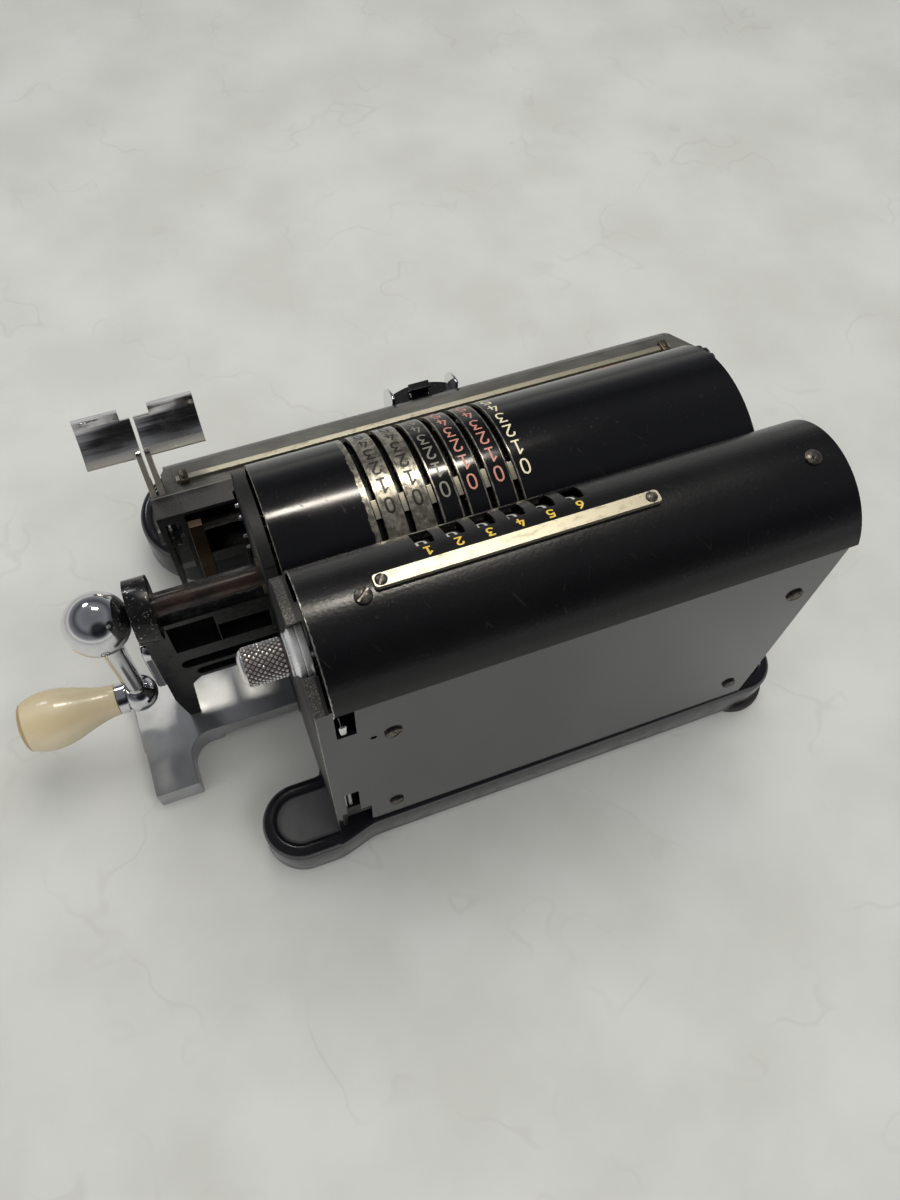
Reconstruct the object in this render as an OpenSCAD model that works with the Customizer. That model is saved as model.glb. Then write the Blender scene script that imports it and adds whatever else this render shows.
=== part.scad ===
// Pinwheel calculating machine with a crank, six setting levers and a sliding carriage.
// Every piece is drawn where it stands in the machine: X runs along the casing towards the
// crank, Y towards the back panel, Z up from the table. place() then moves the whole
// machine so that its origin is in the middle of its footprint, on the table.

/* [Casing] */
// Length of the casing over its two side frames
body_l = 170; // [168:0.5:171]
// Height of the cast base above its rubber feet
base_h = 20; // [18:0.5:22]
// Height of the rubber feet
foot_h = 5; // [4:0.5:6]
// Radius of the rounded back cover, outside
arch_r = 24.8; // [24.6:0.1:25]
// Radius of the drum cover, outside
drum_r = 37.2; // [37.1:0.1:37.4]
// Thickness of the side frames
frame_t = 4; // [3:0.5:5]

/* [Setting levers] */
// Number of setting levers
digits = 6; // [1:1:6]
// Distance from one setting slot to the next
slot_pitch = 9.25; // [9.2:0.05:9.3]
// Width of a slot in the drum cover
slot_w = 2.3; // [2:0.1:2.6]
// Turn of a lever from one digit to the next, in degrees
step_deg = 11; // [10:0.5:11]

/* [Gears] */
// Pitch radius of the toothed rings
ring_r = 33; // [33:1:33]
// Teeth on a ring
ring_teeth = 72; // [72:4:72]
// Teeth on an idler gear
idler_teeth = 30; // [30:1:30]
// Teeth on a check dial
dial_teeth = 22; // [22:1:22]

/* [Crank] */
// Distance from the crank shaft to the middle of the grip
crank_r = 59; // [54:1:62]
// Radius of the big chrome ball on the shaft
hub_r = 11.2; // [10:0.2:11.2]
// Radius of the small chrome ball that carries the grip
knuckle_r = 7.15; // [6.5:0.05:7.2]
// Largest radius of the ivory grip
grip_r = 11.5; // [9:0.5:12]
// Length of the grip
grip_l = 36.5; // [30:0.5:40]

/* [Carriage] */
// Length of the carriage over its two end castings
carriage_l = 230.2; // [228:0.2:232]
// Height of the carriage's flat top above the table
carriage_top = 83; // [82:0.5:84]
// Digits of the result register
result_digits = 10; // [1:1:10]
// Digits of the turns counter
counter_digits = 6; // [1:1:6]

/* [Hidden] */
$fn = 64;

half_l = body_l / 2;
deck = foot_h + base_h;                 // top of the base
run_gap = 0.06;                         // radial play of a shaft in its bearing
fixed_gap = 0.03;                       // radial play between pieces held together

// axes that run along X, as [y, z]
rotor = [-74, deck + 72.5];
arch = [-22.3, deck + 111];
check_axis = [-23.6, deck + 112];
idler_r = ring_r * idler_teeth / ring_teeth;
dial_gear_r = ring_r * dial_teeth / ring_teeth;
to_check = check_axis - rotor;
far_a = ring_r + idler_r;
far_b = idler_r + dial_gear_r;
check_dir = atan2(to_check[1], to_check[0]);
idler_dir = check_dir - acos((far_a * far_a + norm(to_check) * norm(to_check) - far_b * far_b)
                             / (2 * far_a * norm(to_check)));
idler_axis = rotor + far_a * [cos(idler_dir), sin(idler_dir)];
to_dial = check_axis - idler_axis;
dial_dir = atan2(to_dial[1], to_dial[0]);
register = [-124, deck + 37];

// gears: how far a tooth stands above and below its pitch circle
tooth_up = 0.9;
tooth_down = 1;
gear_t = 0.9;
gear_x = -1.95;                         // start of the gear beside its slot

// shafts
rotor_shaft_r = 3.5;
check_shaft_r = 3;
check_drum_r = 20.5;
bearing_r = 7.4;                        // the knob's bearing in the right frame
idler_shaft_r = 2.5;
register_shaft_r = 2;
side_knob_r = 16.7;

// sheet covers
skin = 0.9;
drum_skin = 1.2;
cover_x0 = -half_l - 0.5;
cover_x1 = half_l - 5;
arch_end = 152;                         // angle where the arch turns into its flat
arch_start = 16.7;
flat_l = 21.1;
flat_dir = [-sin(arch_end), cos(arch_end)];
flat_in = [-cos(arch_end), -sin(arch_end)];
flat_top = arch + arch_r * [cos(arch_end), sin(arch_end)];
window_a = [117, 140];
flange_from = 10;                       // the drum cover's flange, measured down the flat
flange_to = 22.5;

// back panel
panel_t = 1.6;
panel_top = deck + 118.5;
panel_holes = [[62.8, deck + 88.1, 2.9], [62.4, deck + 16, 2.65],
               [-75.5, deck + 89.7, 2.9], [-75.3, deck + 16.1, 2.65]];
shank_r = 1.5;
front_y = -111.4;                       // front edges of the side frames
dial_clear = 19.3;                      // room in the frames for the passing dials

// base
ear_right = [97.5, -9.7, 14.7];         // middle and radius
ear_left = [-91.8, -12.5, 13.5];
foot_right = [98.3, -11];
foot_left = [-93.5, -11.9];
lobe = [100, -158];
lobe_r = 25.8;
base_front = -172;
base_back = 1;
ear_bulge = 72;                         // where the right ear runs out along the back
foot_r = 14.3;

// crank
hub_x = 141.3;
knuckle = [hub_x, rotor[0], rotor[1] - crank_r];
grip_x0 = 149.5;
grip_end = grip_x0 + grip_l;
collar_x = [122, 129.8];
collar_r = 11.4;
web_y = [-84, -70];
pivot_r = 2.5;

// carriage
carriage_half = carriage_l / 2;
cover_half = 105;
front_arc_r = 25.6;
carriage_back = -117.4;
carriage_foot = 33;
carriage_skin = 1.6;
rail_y = [-147.7, -129.9];
rail_top = carriage_foot - 0.3;
lip_z = deck + 2;
handle_x = -0.5;
button_y = -152.7;
marker_x = 101;
lever_t = 2;
lever_x = [112.5, 109.3];               // result lever, counter lever

// middle of the footprint
mid_x = (grip_end - lobe[0] - lobe_r) / 2;
mid_y = (ear_right[1] + ear_right[2] + lobe[1] - lobe_r) / 2;

function slot_x(k) = slot_pitch * (digits - k);
function at(c, r, a) = c + r * [cos(a), sin(a)];
function arc(c, r, a0, a1, n) = [for (i = [0:n]) at(c, r, a0 + (a1 - a0) * i / n)];
function result_x(k) = slot_x(1) + slot_pitch * 4 - slot_pitch * (k - 1);
function counter_x(k) = -slot_pitch * (k + 2);

module place() {
  translate([-mid_x, -mid_y, 0]) children();
}

// a (y, z) outline drawn out from x0 to x1
module along_x(x0, x1) {
  translate([x0, 0, 0]) rotate([90, 0, 90]) linear_extrude(x1 - x0) children();
}

// a round bar along X about the axis c
module bar_x(x0, x1, r, c) {
  translate([x0, c[0], c[1]]) rotate([0, 90, 0]) cylinder(h = x1 - x0, r = r);
}

module rect(a, b) {
  translate(a) square(b - a);
}

// part of a ring between two angles
module ring_part(c, r0, r1, a0, a1) {
  intersection() {
    difference() {
      translate(c) circle(r1);
      translate(c) circle(r0);
    }
    polygon(concat([c], arc(c, r1 * 2, a0, a1, 6)));
  }
}

// teeth are straight sided, narrower than their gaps so that they run freely
module gear_outline(teeth, pitch_r, phase) {
  pitch = 360 / teeth;
  root = pitch_r - tooth_down;
  tip = pitch_r + tooth_up;
  wide = pitch * 0.30;
  narrow = pitch * 0.09;
  polygon([for (i = [0:teeth - 1]) for (p = [[root, -wide], [tip, -narrow], [tip, narrow], [root, wide]])
    at([0, 0], p[0], phase + i * pitch + p[1])]);
}

module gear_x_at(x, c, teeth, pitch_r, phase) {
  translate([0, c[0], c[1]]) along_x(x, x + gear_t) gear_outline(teeth, pitch_r, phase);
}

// straight piece of sheet lying along the flat of the back cover
module flat_sheet(s0, s1, d0, d1) {
  polygon([for (p = [[s0, d0], [s1, d0], [s1, d1], [s0, d1]])
    flat_top + p[0] * flat_dir + p[1] * flat_in]);
}

// slotted screw whose head stands on z = 0, shank downwards
module screw(head_r, head_h, shank_l) {
  difference() {
    union() {
      intersection() {
        cylinder(h = head_h, r = head_r);
        translate([0, 0, head_h - head_r * 2]) sphere(r = head_r * 2);
      }
      translate([0, 0, -shank_l]) cylinder(h = shank_l + 0.1, r = shank_r);
    }
    translate([-head_r, -0.4, head_h - 0.6]) cube([head_r * 2, 0.8, 1]);
  }
}

module base_plan(inset) {
  r_right = ear_right[2] - inset;
  r_left = ear_left[2] - inset;
  rect([-half_l + inset, base_front + inset], [half_l - inset, base_back - inset]);
  translate([ear_right[0], ear_right[1]]) circle(r_right);
  polygon([[ear_right[0], ear_right[1] - r_right], [ear_right[0], ear_right[1] + r_right],
           [ear_right[0] - 11.5, ear_right[1] + r_right], [ear_bulge + inset, base_back - inset],
           [ear_bulge + inset, ear_right[1] - r_right]]);
  translate([ear_left[0], ear_left[1]]) circle(r_left);
  rect([ear_left[0], ear_left[1] - r_left], [-half_l + 5, ear_left[1] + r_left - 0.01]);
  for (side = [-1, 1]) {
    translate([side * lobe[0], lobe[1]]) circle(lobe_r - inset);
  }
  rect([-lobe[0], lobe[1] - lobe_r + inset], [-lobe[0] + 40, lobe[1] + lobe_r - inset]);
  rect([lobe[0] - 40, lobe[1] - lobe_r + inset], [lobe[0], lobe[1] + lobe_r - inset]);
}

module base_casting() {
  rim = 4.9;
  step = 1.6;
  color([0.09, 0.09, 0.11]) difference() {
    union() {
      translate([0, 0, foot_h]) linear_extrude(base_h - step) base_plan(0);
      translate([0, 0, deck - step]) linear_extrude(step) base_plan(1);
    }
    // hollow tops of the ears, open towards the casing
    translate([0, 0, deck - step]) linear_extrude(step + 1) {
      for (ear = [ear_right, ear_left]) {
        translate([ear[0], ear[1]]) circle(ear[2] - rim);
      }
      rect([half_l, ear_right[1] - ear_right[2] + rim], [ear_right[0], ear_right[1] + ear_right[2] - rim]);
      rect([ear_left[0], ear_left[1] - ear_left[2] + rim], [-half_l, ear_left[1] + ear_left[2] - rim]);
      for (side = [-1, 1]) {
        translate([side * lobe[0], lobe[1]]) circle(lobe_r - rim);
      }
    }
  }
}

module rubber_feet() {
  color([0.13, 0.12, 0.12]) {
    for (p = [foot_right, foot_left, lobe, [-lobe[0], lobe[1]]]) {
      translate([p[0], p[1], 0]) cylinder(h = foot_h, r = foot_r);
    }
  }
}

// outline shared by both side frames
module frame_outline() {
  inner_r = arch_r - skin - 0.1;
  drum_in = drum_r - drum_skin - 0.1;
  difference() {
    union() {
      translate(arch) circle(inner_r);
      translate(rotor) circle(drum_in);
      polygon([[-panel_t, deck], [-panel_t, arch[1] + 4], arch, at(arch, inner_r, arch_end),
               at(rotor, drum_in, 57), rotor, [front_y, rotor[1] - 7], [front_y, deck]]);
    }
    rect([-panel_t, deck - 1], [10, panel_top]);
    flat_sheet(-1, flange_to + 0.2, -3, skin + 0.1);
    flat_sheet(flange_from - 0.3, flange_to + 0.2, -3, skin + drum_skin + 0.1);
    translate(register) circle(dial_clear);
  }
}

module side_frame(x0, lug_x, lug_holes, cover_x) {
  difference() {
    union() {
      along_x(x0, x0 + frame_t) frame_outline();
      for (h = lug_holes) {
        along_x(min(lug_x, x0 + 0.1), max(lug_x, x0 + frame_t - 0.1))
          rect([-9.6, h[1] - 5], [-panel_t, h[1] + 5]);
      }
      along_x(min(lug_x, x0 + 0.1), max(lug_x, x0 + frame_t - 0.1)) intersection() {
        translate(arch) circle(arch_r - skin - 0.1);
        rect([arch[0] - 5, arch[1] + 15], [arch[0] + 5, arch[1] + 30]);
      }
    }
    bar_x(x0 - 1, x0 + frame_t + 1, 6.5 + fixed_gap, rotor);
    bar_x(x0 - 1, x0 + frame_t + 1, check_shaft_r + run_gap, check_axis);
    bar_x(x0 - 1, x0 + frame_t + 1, idler_shaft_r + fixed_gap, idler_axis);
    for (h = lug_holes) {
      translate([h[0], 1, h[1]]) rotate([90, 0, 0]) cylinder(h = 9, r = shank_r + fixed_gap);
    }
    translate([cover_x, arch[0], arch[1] + 17]) cylinder(h = 12, r = shank_r + fixed_gap);
  }
}

// the right frame is notched from above so that the knob's bearing drops into it
module side_frame_right() {
  half_w = bearing_r + fixed_gap;
  color([0.62, 0.6, 0.57]) difference() {
    side_frame(half_l - frame_t, 59.3, [panel_holes[0], panel_holes[1]], 63.2);
    along_x(half_l - frame_t - 0.5, half_l + 1) translate(check_axis) rotate(-25.5) {
      circle(half_w);
      rect([-half_w, 0], [half_w, 30]);
    }
  }
}

module side_frame_left() {
  color([0.62, 0.6, 0.57]) side_frame(-half_l, -69, [panel_holes[2], panel_holes[3]], -76);
}

module rear_panel() {
  color([0.1, 0.1, 0.11]) difference() {
    translate([-half_l, -panel_t, deck]) cube([body_l, panel_t, panel_top - deck]);
    for (h = panel_holes) {
      translate([h[0], 1, h[1]]) rotate([90, 0, 0]) cylinder(h = panel_t + 2, r = shank_r + fixed_gap);
    }
    // small plain hole beside the upper right screw
    translate([69.1, 1, deck + 88.8]) rotate([90, 0, 0]) cylinder(h = panel_t + 2, r = 1.1);
    translate([74, -panel_t - 1, deck + 97]) cube([6, panel_t + 2, 19]);
    translate([76, -panel_t - 1, deck - 1]) cube([5, panel_t + 2, 43]);
    translate([72, -panel_t - 1, deck - 1]) cube([11, panel_t + 2, 21]);
  }
}

module rear_cover() {
  color([0.08, 0.08, 0.09]) difference() {
    union() {
      along_x(cover_x0, cover_x1) ring_part(arch, arch_r - skin, arch_r, arch_start, arch_end);
      along_x(cover_x0, cover_x1) flat_sheet(-0.1, flat_l, 0, skin);
    }
    for (k = [1:digits]) {
      along_x(slot_x(k) - 8, slot_x(k) - 2.2)
        ring_part(arch, arch_r - 3, arch_r + 3, window_a[0], window_a[1]);
    }
    for (x = [63.2, -76]) {
      translate([x, arch[0], arch[1]]) cylinder(h = arch_r + 2, r = shank_r + fixed_gap);
    }
    for (x = [57.3, -23.7]) {
      translate([x, arch[0], arch[1]]) rotate([5.5, 0, 0])
        cylinder(h = arch_r + 2, r = shank_r + fixed_gap);
    }
  }
}

module drum_cover() {
  color([0.07, 0.07, 0.08]) difference() {
    union() {
      along_x(cover_x0, cover_x1) ring_part(rotor, drum_r - drum_skin, drum_r, 54.5, 190);
      along_x(cover_x0, cover_x1) flat_sheet(flange_from, flange_to, skin, skin + drum_skin);
    }
    // slots run out at the front edge and end in the flange at the back
    for (k = [1:digits]) {
      along_x(slot_x(k) - slot_w / 2, slot_x(k) + slot_w / 2)
        ring_part(rotor, drum_r - 4, drum_r + 1.1, 40, 200);
    }
  }
}

module front_apron() {
  color([0.08, 0.08, 0.09]) translate([cover_x0, front_y - drum_skin, deck + 52.5])
    cube([half_l - cover_x0, drum_skin, 22]);
}

// four screws hold the panel, two the back cover and two smaller ones the strip
module casing_screws() {
  color([0.37, 0.36, 0.34]) {
    for (h = panel_holes) {
      translate([h[0], 0, h[1]]) rotate([-90, 0, 0]) rotate([0, 0, 35]) screw(h[2], 1.5, 7);
    }
    for (x = [63.2, -76]) {
      translate([x, arch[0], arch[1] + arch_r]) rotate([0, 0, 40]) screw(2.6, 1.3, 5);
    }
    for (x = [57.3, -23.7]) {
      translate([x, arch[0], arch[1]]) rotate([5.5, 0, 0]) translate([0, 0, arch_r + 1.45])
        rotate([0, 0, 60]) screw(1.8, 0.8, 4);
    }
  }
}

module label_strip() {
  x0 = -26.3;
  x1 = 59.5;
  w = 4.4;
  corner = 1.1;
  color([0.78, 0.74, 0.62]) difference() {
    translate([0, arch[0], arch[1]]) rotate([5.5, 0, 0]) translate([0, 0, arch_r + 0.1])
      linear_extrude(1.3) {
        rect([x0 + corner, -w / 2], [x1 - corner, w / 2]);
        rect([x0, -w / 2 + corner], [x1, w / 2 - corner]);
        for (x = [x0 + corner, x1 - corner]) for (y = [-w / 2 + corner, w / 2 - corner]) {
          translate([x, y]) circle(corner);
        }
      }
    for (x = [57.3, -23.7]) {
      translate([x, arch[0], arch[1]]) rotate([5.5, 0, 0]) cylinder(h = arch_r + 4, r = shank_r + fixed_gap);
    }
  }
}

module rotor_bushes() {
  color([0.72, 0.6, 0.35]) difference() {
    union() {
      bar_x(half_l - frame_t - 0.6, half_l + 1, 6.5, rotor);
      bar_x(-half_l - 1, -half_l + frame_t + 0.6, 6.5, rotor);
    }
    bar_x(-half_l - 2, half_l + 2, rotor_shaft_r + run_gap, rotor);
  }
}

// black casting that carries the crank bearing outside the right frame
module crank_bracket() {
  web_outline = [[half_l, deck + 19], [117, deck + 19], [121, deck + 15], [123, 12], [127.5, 12],
                 [130, 30], [129.7, deck + 60], [126, deck + 65], [half_l, deck + 65]];
  color([0.06, 0.06, 0.07]) difference() {
    union() {
      translate([0, web_y[1], 0]) rotate([90, 0, 0]) linear_extrude(web_y[1] - web_y[0])
        polygon(web_outline);
      bar_x(collar_x[0], collar_x[1], collar_r, rotor);
    }
    bar_x(collar_x[0] - 1, collar_x[1] + 1, rotor_shaft_r + run_gap, rotor);
    // keeps the casting clear of the shaft beside the collar
    bar_x(half_l - 1, collar_x[0], 7, rotor);
    // two long slots with round ends: end of the slot, its middle height, half its width
    for (slot = [[118.8, deck + 32.2, 3.1], [115, deck + 23.8, 2.6]]) {
      translate([half_l - 1, web_y[0] - 1, slot[1] - slot[2]]) cube([slot[0] - half_l + 1, 16, 2 * slot[2]]);
      translate([slot[0], web_y[1] + 1, slot[1]]) rotate([90, 0, 0]) cylinder(h = 16, r = slot[2]);
    }
    // shallow tray and the darker pocket beside it
    translate([105, -78, deck + 43]) cube([16.5, 9, 19]);
    translate([half_l + 1, -82, deck + 43]) cube([18.5, 13, 12]);
  }
}

module crank_stop_block() {
  x0 = 130;
  x1 = 133.6;
  color([0.8, 0.8, 0.82]) intersection() {
    along_x(x0, x1) {
      rect([-82, deck + 16], [-72, deck + 40]);
      translate([-77, deck + 40]) circle(5);
    }
    translate([x0 - 1, -90, deck + 10]) cube([10, 30, 40]);
  }
}

module outrigger_plate() {
  top = 12;
  inner = 9;
  color([0.8, 0.81, 0.84]) difference() {
    union() {
      linear_extrude(top) {
        rect([half_l, -91], [148.5, -61]);
        rect([131, -91], [148, -41]);
        difference() {
          rect([131 - inner, -61.1], [131.1, -61 + inner]);
          translate([131 - inner, -61 + inner]) circle(inner);
        }
      }
      // tongue under the base
      translate([62, -88, 1]) cube([half_l - 61.9, 24, foot_h - 1]);
    }
    translate([half_l + 0.5, -92, -1]) cube([32, 32, 5]);
  }
}

module carriage_rail() {
  color([0.55, 0.55, 0.57]) translate([-115, rail_y[0], deck])
    cube([230, rail_y[1] - rail_y[0], rail_top - deck]);
}

// spring strap that the carriage clicks against
module detent_strap() {
  color([0.38, 0.26, 0.18]) along_x(99.5, 104.8)
    polygon([[-116.2, deck + 54], [-112.6, deck + 54.4], [-112.4, deck + 53], [-99.2, deck + 21.6],
             [web_y[0], deck + 21.6], [web_y[0], deck + 20], [-100.4, deck + 20], [-114, deck + 52.6]]);
}

module idler_shaft() {
  color([0.6, 0.6, 0.6]) bar_x(-half_l, half_l, idler_shaft_r, idler_axis);
}

module knob_collar() {
  color([0.82, 0.82, 0.84]) difference() {
    union() {
      bar_x(half_l - 4.4, half_l - 1.4, bearing_r, check_axis);
      bar_x(half_l - 1.5, half_l - 0.4, 5.6, check_axis);
      bar_x(half_l - 0.5, half_l + 1.5, 6.3, check_axis);
    }
    bar_x(half_l - 5, half_l + 5, check_shaft_r + run_gap, check_axis);
  }
}

module clearing_knob() {
  x0 = half_l + 1.8;
  color([0.8, 0.79, 0.77]) difference() {
    union() {
      bar_x(x0, x0 + 12.2, 5.9, check_axis);
      translate([x0 + 12.1, check_axis[0], check_axis[1]]) rotate([0, 90, 0])
        intersection() {
          cylinder(h = 2, r = 5.6);
          translate([0, 0, 1.5 - 11]) sphere(r = 11);
        }
    }
    bar_x(x0 - 1, x0 + 10.5, check_shaft_r + fixed_gap, check_axis);
  }
}

module check_shaft() {
  color([0.6, 0.6, 0.6]) bar_x(-half_l, half_l + 12, check_shaft_r, check_axis);
}

module crank_hub() {
  color([0.82, 0.82, 0.85]) difference() {
    translate([hub_x, rotor[0], rotor[1]]) sphere(r = hub_r);
    bar_x(hub_x - hub_r - 1, hub_x, rotor_shaft_r + fixed_gap, rotor);
    translate([hub_x, rotor[0], rotor[1] - hub_r - 1]) cylinder(h = hub_r - 3, r = 4.5 + fixed_gap);
  }
}

module crank_arm() {
  color([0.82, 0.82, 0.85]) {
    translate([hub_x, rotor[0], knuckle[2] + 3]) cylinder(h = crank_r - hub_r, r1 = 3.5, r2 = 4.4);
    translate([hub_x, rotor[0], rotor[1] - hub_r + 2]) cylinder(h = 4, r = 4.5);
  }
}

module handle_ball() {
  color([0.82, 0.82, 0.85]) difference() {
    union() {
      translate(knuckle) sphere(r = knuckle_r);
      bar_x(knuckle[0] + 4.5, grip_x0 - 0.3, 6.1, [knuckle[1], knuckle[2]]);
    }
    translate([knuckle[0], knuckle[1], knuckle[2] + 2.9]) cylinder(h = 20, r = 3.75);
    bar_x(knuckle[0], grip_x0 + 1, pivot_r + fixed_gap, [knuckle[1], knuckle[2]]);
  }
}

module rotor_shaft() {
  color([0.33, 0.25, 0.22]) bar_x(-half_l - 2, hub_x - 0.2, rotor_shaft_r, rotor);
}

module grip_spindle() {
  color([0.6, 0.6, 0.6]) bar_x(knuckle[0] + 0.1, grip_end - 9, pivot_r, [knuckle[1], knuckle[2]]);
}

// turned ivory grip: slim neck, full belly, low domed end with an edge
module handle_grip() {
  neck_r = 6;
  belly = 0.685 * grip_l;
  shoulder = 0.925 * grip_l;
  shoulder_r = 0.83 * grip_r;
  neck_pts = [for (i = [0:12]) [neck_r + (grip_r - neck_r) * (1 - cos(15 * i)) / 2, belly * i / 12]];
  belly_pts = [for (i = [1:5]) let (a = asin(0.56) * i / 5) [grip_r * cos(a),
               belly + (shoulder - belly) * sin(a) / 0.56]];
  end_pts = [for (i = [1:6]) [shoulder_r * cos(15 * i), shoulder + (grip_l - shoulder) * sin(15 * i)]];
  color([0.88, 0.8, 0.62]) difference() {
    translate([grip_x0, knuckle[1], knuckle[2]]) rotate([0, 90, 0])
      rotate_extrude() polygon(concat([[0, 0]], neck_pts, belly_pts, end_pts));
    bar_x(grip_x0 - 1, grip_end - 8, pivot_r + run_gap, [knuckle[1], knuckle[2]]);
  }
}

pin_count = 9;
disc_r = 28.3;
pin_in = 20;

// one slotted disc for each digit, side by side on the shaft
module pinwheel_discs() {
  color([0.7, 0.68, 0.6]) for (k = [1:digits]) {
    x = slot_x(k);
    difference() {
      union() {
        bar_x(x - 1.9, x + 0.8, disc_r, rotor);
        bar_x(x - 4.55, x + 4.55, 9, rotor);
      }
      bar_x(x - 6, x + 6, rotor_shaft_r + fixed_gap, rotor);
      for (i = [0:pin_count - 1]) {
        translate([x - 3, rotor[0], rotor[1]]) rotate([180 + step_deg * i, 0, 0])
          translate([0, pin_in, -0.85]) cube([2.05, 12, 1.7]);
      }
    }
  }
}

module counting_pins() {
  color([0.75, 0.75, 0.75]) for (k = [1:digits]) for (i = [0:pin_count - 1]) {
    translate([slot_x(k) - 1.9, rotor[0], rotor[1]]) rotate([180 + step_deg * i, 0, 0])
      translate([0, pin_in + 0.1, -0.8]) cube([0.9, 8, 1.6]);
  }
}

// toothed ring with the finger tip that stands in its slot
module setting_lever(k) {
  x = slot_x(k);
  tip_mid = 75;
  tip_half = 5;
  color([0.75, 0.72, 0.62]) difference() {
    union() {
      bar_x(x + gear_x, x + 0.85, ring_r - tooth_down, rotor);
      gear_x_at(x + gear_x, rotor, ring_teeth, ring_r, idler_dir);
      along_x(x - 0.85, x + 0.85)
        ring_part(rotor, ring_r - 2, drum_r - 0.6, tip_mid - tip_half, tip_mid + tip_half);
    }
    bar_x(x - 3, x + 3, disc_r + 0.3, rotor);
  }
}

module idler_gear(k) {
  x = slot_x(k);
  color([0.78, 0.68, 0.4]) difference() {
    union() {
      gear_x_at(x + gear_x, idler_axis, idler_teeth, idler_r, idler_dir + 180 + 180 / idler_teeth);
      bar_x(x - 2.2, x - 0.6, 3.8, idler_axis);
    }
    bar_x(x - 7, x + 1, idler_shaft_r + run_gap, idler_axis);
  }
}

// numbered drum with its gear; c is its axis, bore_r the radius of its shaft hole
module dial(x, c, drum, teeth, pitch_r, phase, bore_r) {
  difference() {
    union() {
      bar_x(x - 7.6, x - 2.3, drum, c);
      bar_x(x - 7.6, x + gear_x + gear_t, bore_r + 3, c);
      gear_x_at(x + gear_x, c, teeth, pitch_r, phase);
    }
    bar_x(x - 9, x + 1, bore_r, c);
    difference() {
      bar_x(x - 8, x - 3.6, drum - 1.5, c);
      bar_x(x - 9, x, bore_r + 3, c);
    }
  }
}

// a dial tooth stands where the idler has a gap
function idler_at_dial() = dial_dir - (idler_dir + 180 + 180 / idler_teeth);
function dial_phase() = dial_dir + 180 + idler_at_dial() * idler_teeth / dial_teeth + 180 / dial_teeth;

module check_dial(k) {
  color([0.12, 0.12, 0.12])
    dial(slot_x(k), check_axis, check_drum_r, dial_teeth, dial_gear_r, dial_phase(), check_shaft_r + run_gap);
}

module result_dials() {
  color([0.12, 0.12, 0.12]) for (k = [1:result_digits]) {
    dial(result_x(k), register, 18.6, 20, 9.5, 0, register_shaft_r + run_gap);
  }
}

module counter_dials() {
  color([0.14, 0.12, 0.12]) for (k = [1:counter_digits]) {
    dial(counter_x(k), register, 18.6, 20, 9.5, 0, register_shaft_r + run_gap);
  }
}

// section of the carriage; grow takes the sheet's thickness off it
module carriage_outline(grow) {
  intersection() {
    union() {
      translate(register) circle(front_arc_r - grow);
      rect([register[0] - front_arc_r + grow, carriage_foot + grow], [carriage_back + 1, register[1]]);
      rect([register[0] - 14.6, register[1] - 1], [carriage_back + 1, carriage_top - grow]);
    }
    rect([-160, carriage_foot + grow], [carriage_back, carriage_top - grow]);
  }
}

module carriage_cover() {
  color([0.1, 0.1, 0.11]) difference() {
    along_x(-cover_half, cover_half) {
      difference() {
        carriage_outline(0);
        carriage_outline(carriage_skin);
        rect([-126, carriage_foot + carriage_skin], [carriage_back + 1, carriage_top - carriage_skin]);
        rect([rail_y[1] + 1.9, carriage_foot - 1], [carriage_back + 1, carriage_foot + carriage_skin + 1]);
      }
      // lips that hold the rail between them
      rect([register[0] - front_arc_r, lip_z], [rail_y[0] - 0.3, carriage_foot + 1]);
      rect([rail_y[1] + 0.3, lip_z], [rail_y[1] + 1.9, carriage_foot + carriage_skin]);
    }
    for (x = concat([for (k = [1:result_digits]) result_x(k)], [for (k = [1:counter_digits]) counter_x(k)])) {
      along_x(x - 7.4, x - 2.5) ring_part(register, front_arc_r - 4, front_arc_r + 3, 140, 160);
    }
    // small notch in the back edge of the top
    translate([80.5, -121, carriage_top - 3]) cube([5, 5, 5]);
  }
}

// end castings, hollow behind; the right one is slotted for the two clearing levers
module carriage_ends() {
  cut = 7.4;
  rib = 2.2;
  color([0.1, 0.1, 0.11]) difference() {
    union() {
      along_x(cover_half, carriage_half) carriage_outline(0);
      along_x(-carriage_half, -cover_half) carriage_outline(0);
    }
    for (side = [-1, 1]) {
      translate([0, 0, deck]) linear_extrude(80)
        polygon([[side * (carriage_half - cut), -138.5], [side * (carriage_half + 0.1), -128.7],
                 [side * (carriage_half + 0.1), -160], [side * (carriage_half - cut), -160]]);
      x0 = min(side * (cover_half + rib), side * (carriage_half - rib));
      translate([x0, -127.5, carriage_foot - 1]) cube([carriage_half - cover_half - 2 * rib, 12, 46]);
    }
    // the levers stand in a slot that is open to the right and to the front
    along_x(lever_x[1] - 0.3, carriage_half + 1) {
      translate(register) circle(5.4);
      polygon([register + [3.5, 0], register + [-3.6, 21.2], register + [-36, 21.2], register + [-36, -7],
               register + [-3, -7]]);
    }
    bar_x(-carriage_half - 1, carriage_half + 1, register_shaft_r + fixed_gap, register);
  }
}

module decimal_rail() {
  color([0.75, 0.68, 0.48]) translate([-104, -133.2, carriage_top]) cube([208, 2.4, 1.6]);
}

module decimal_marker(x) {
  color([0.8, 0.8, 0.82]) difference() {
    translate([x - 1.6, -134.8, carriage_top + 0.3]) cube([3.2, 5.6, 3.2]);
    translate([x - 2, -133.45, carriage_top]) cube([4, 2.9, 1.8]);
  }
}

module register_shaft() {
  color([0.65, 0.65, 0.66]) {
    bar_x(-carriage_half - 8.2, carriage_half + 0.2, register_shaft_r, register);
    bar_x(-carriage_half - 1.7, -carriage_half - 0.1, 3.2, register);
    bar_x(carriage_half + 0.1, carriage_half + 1.7, 3.2, register);
  }
}

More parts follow.
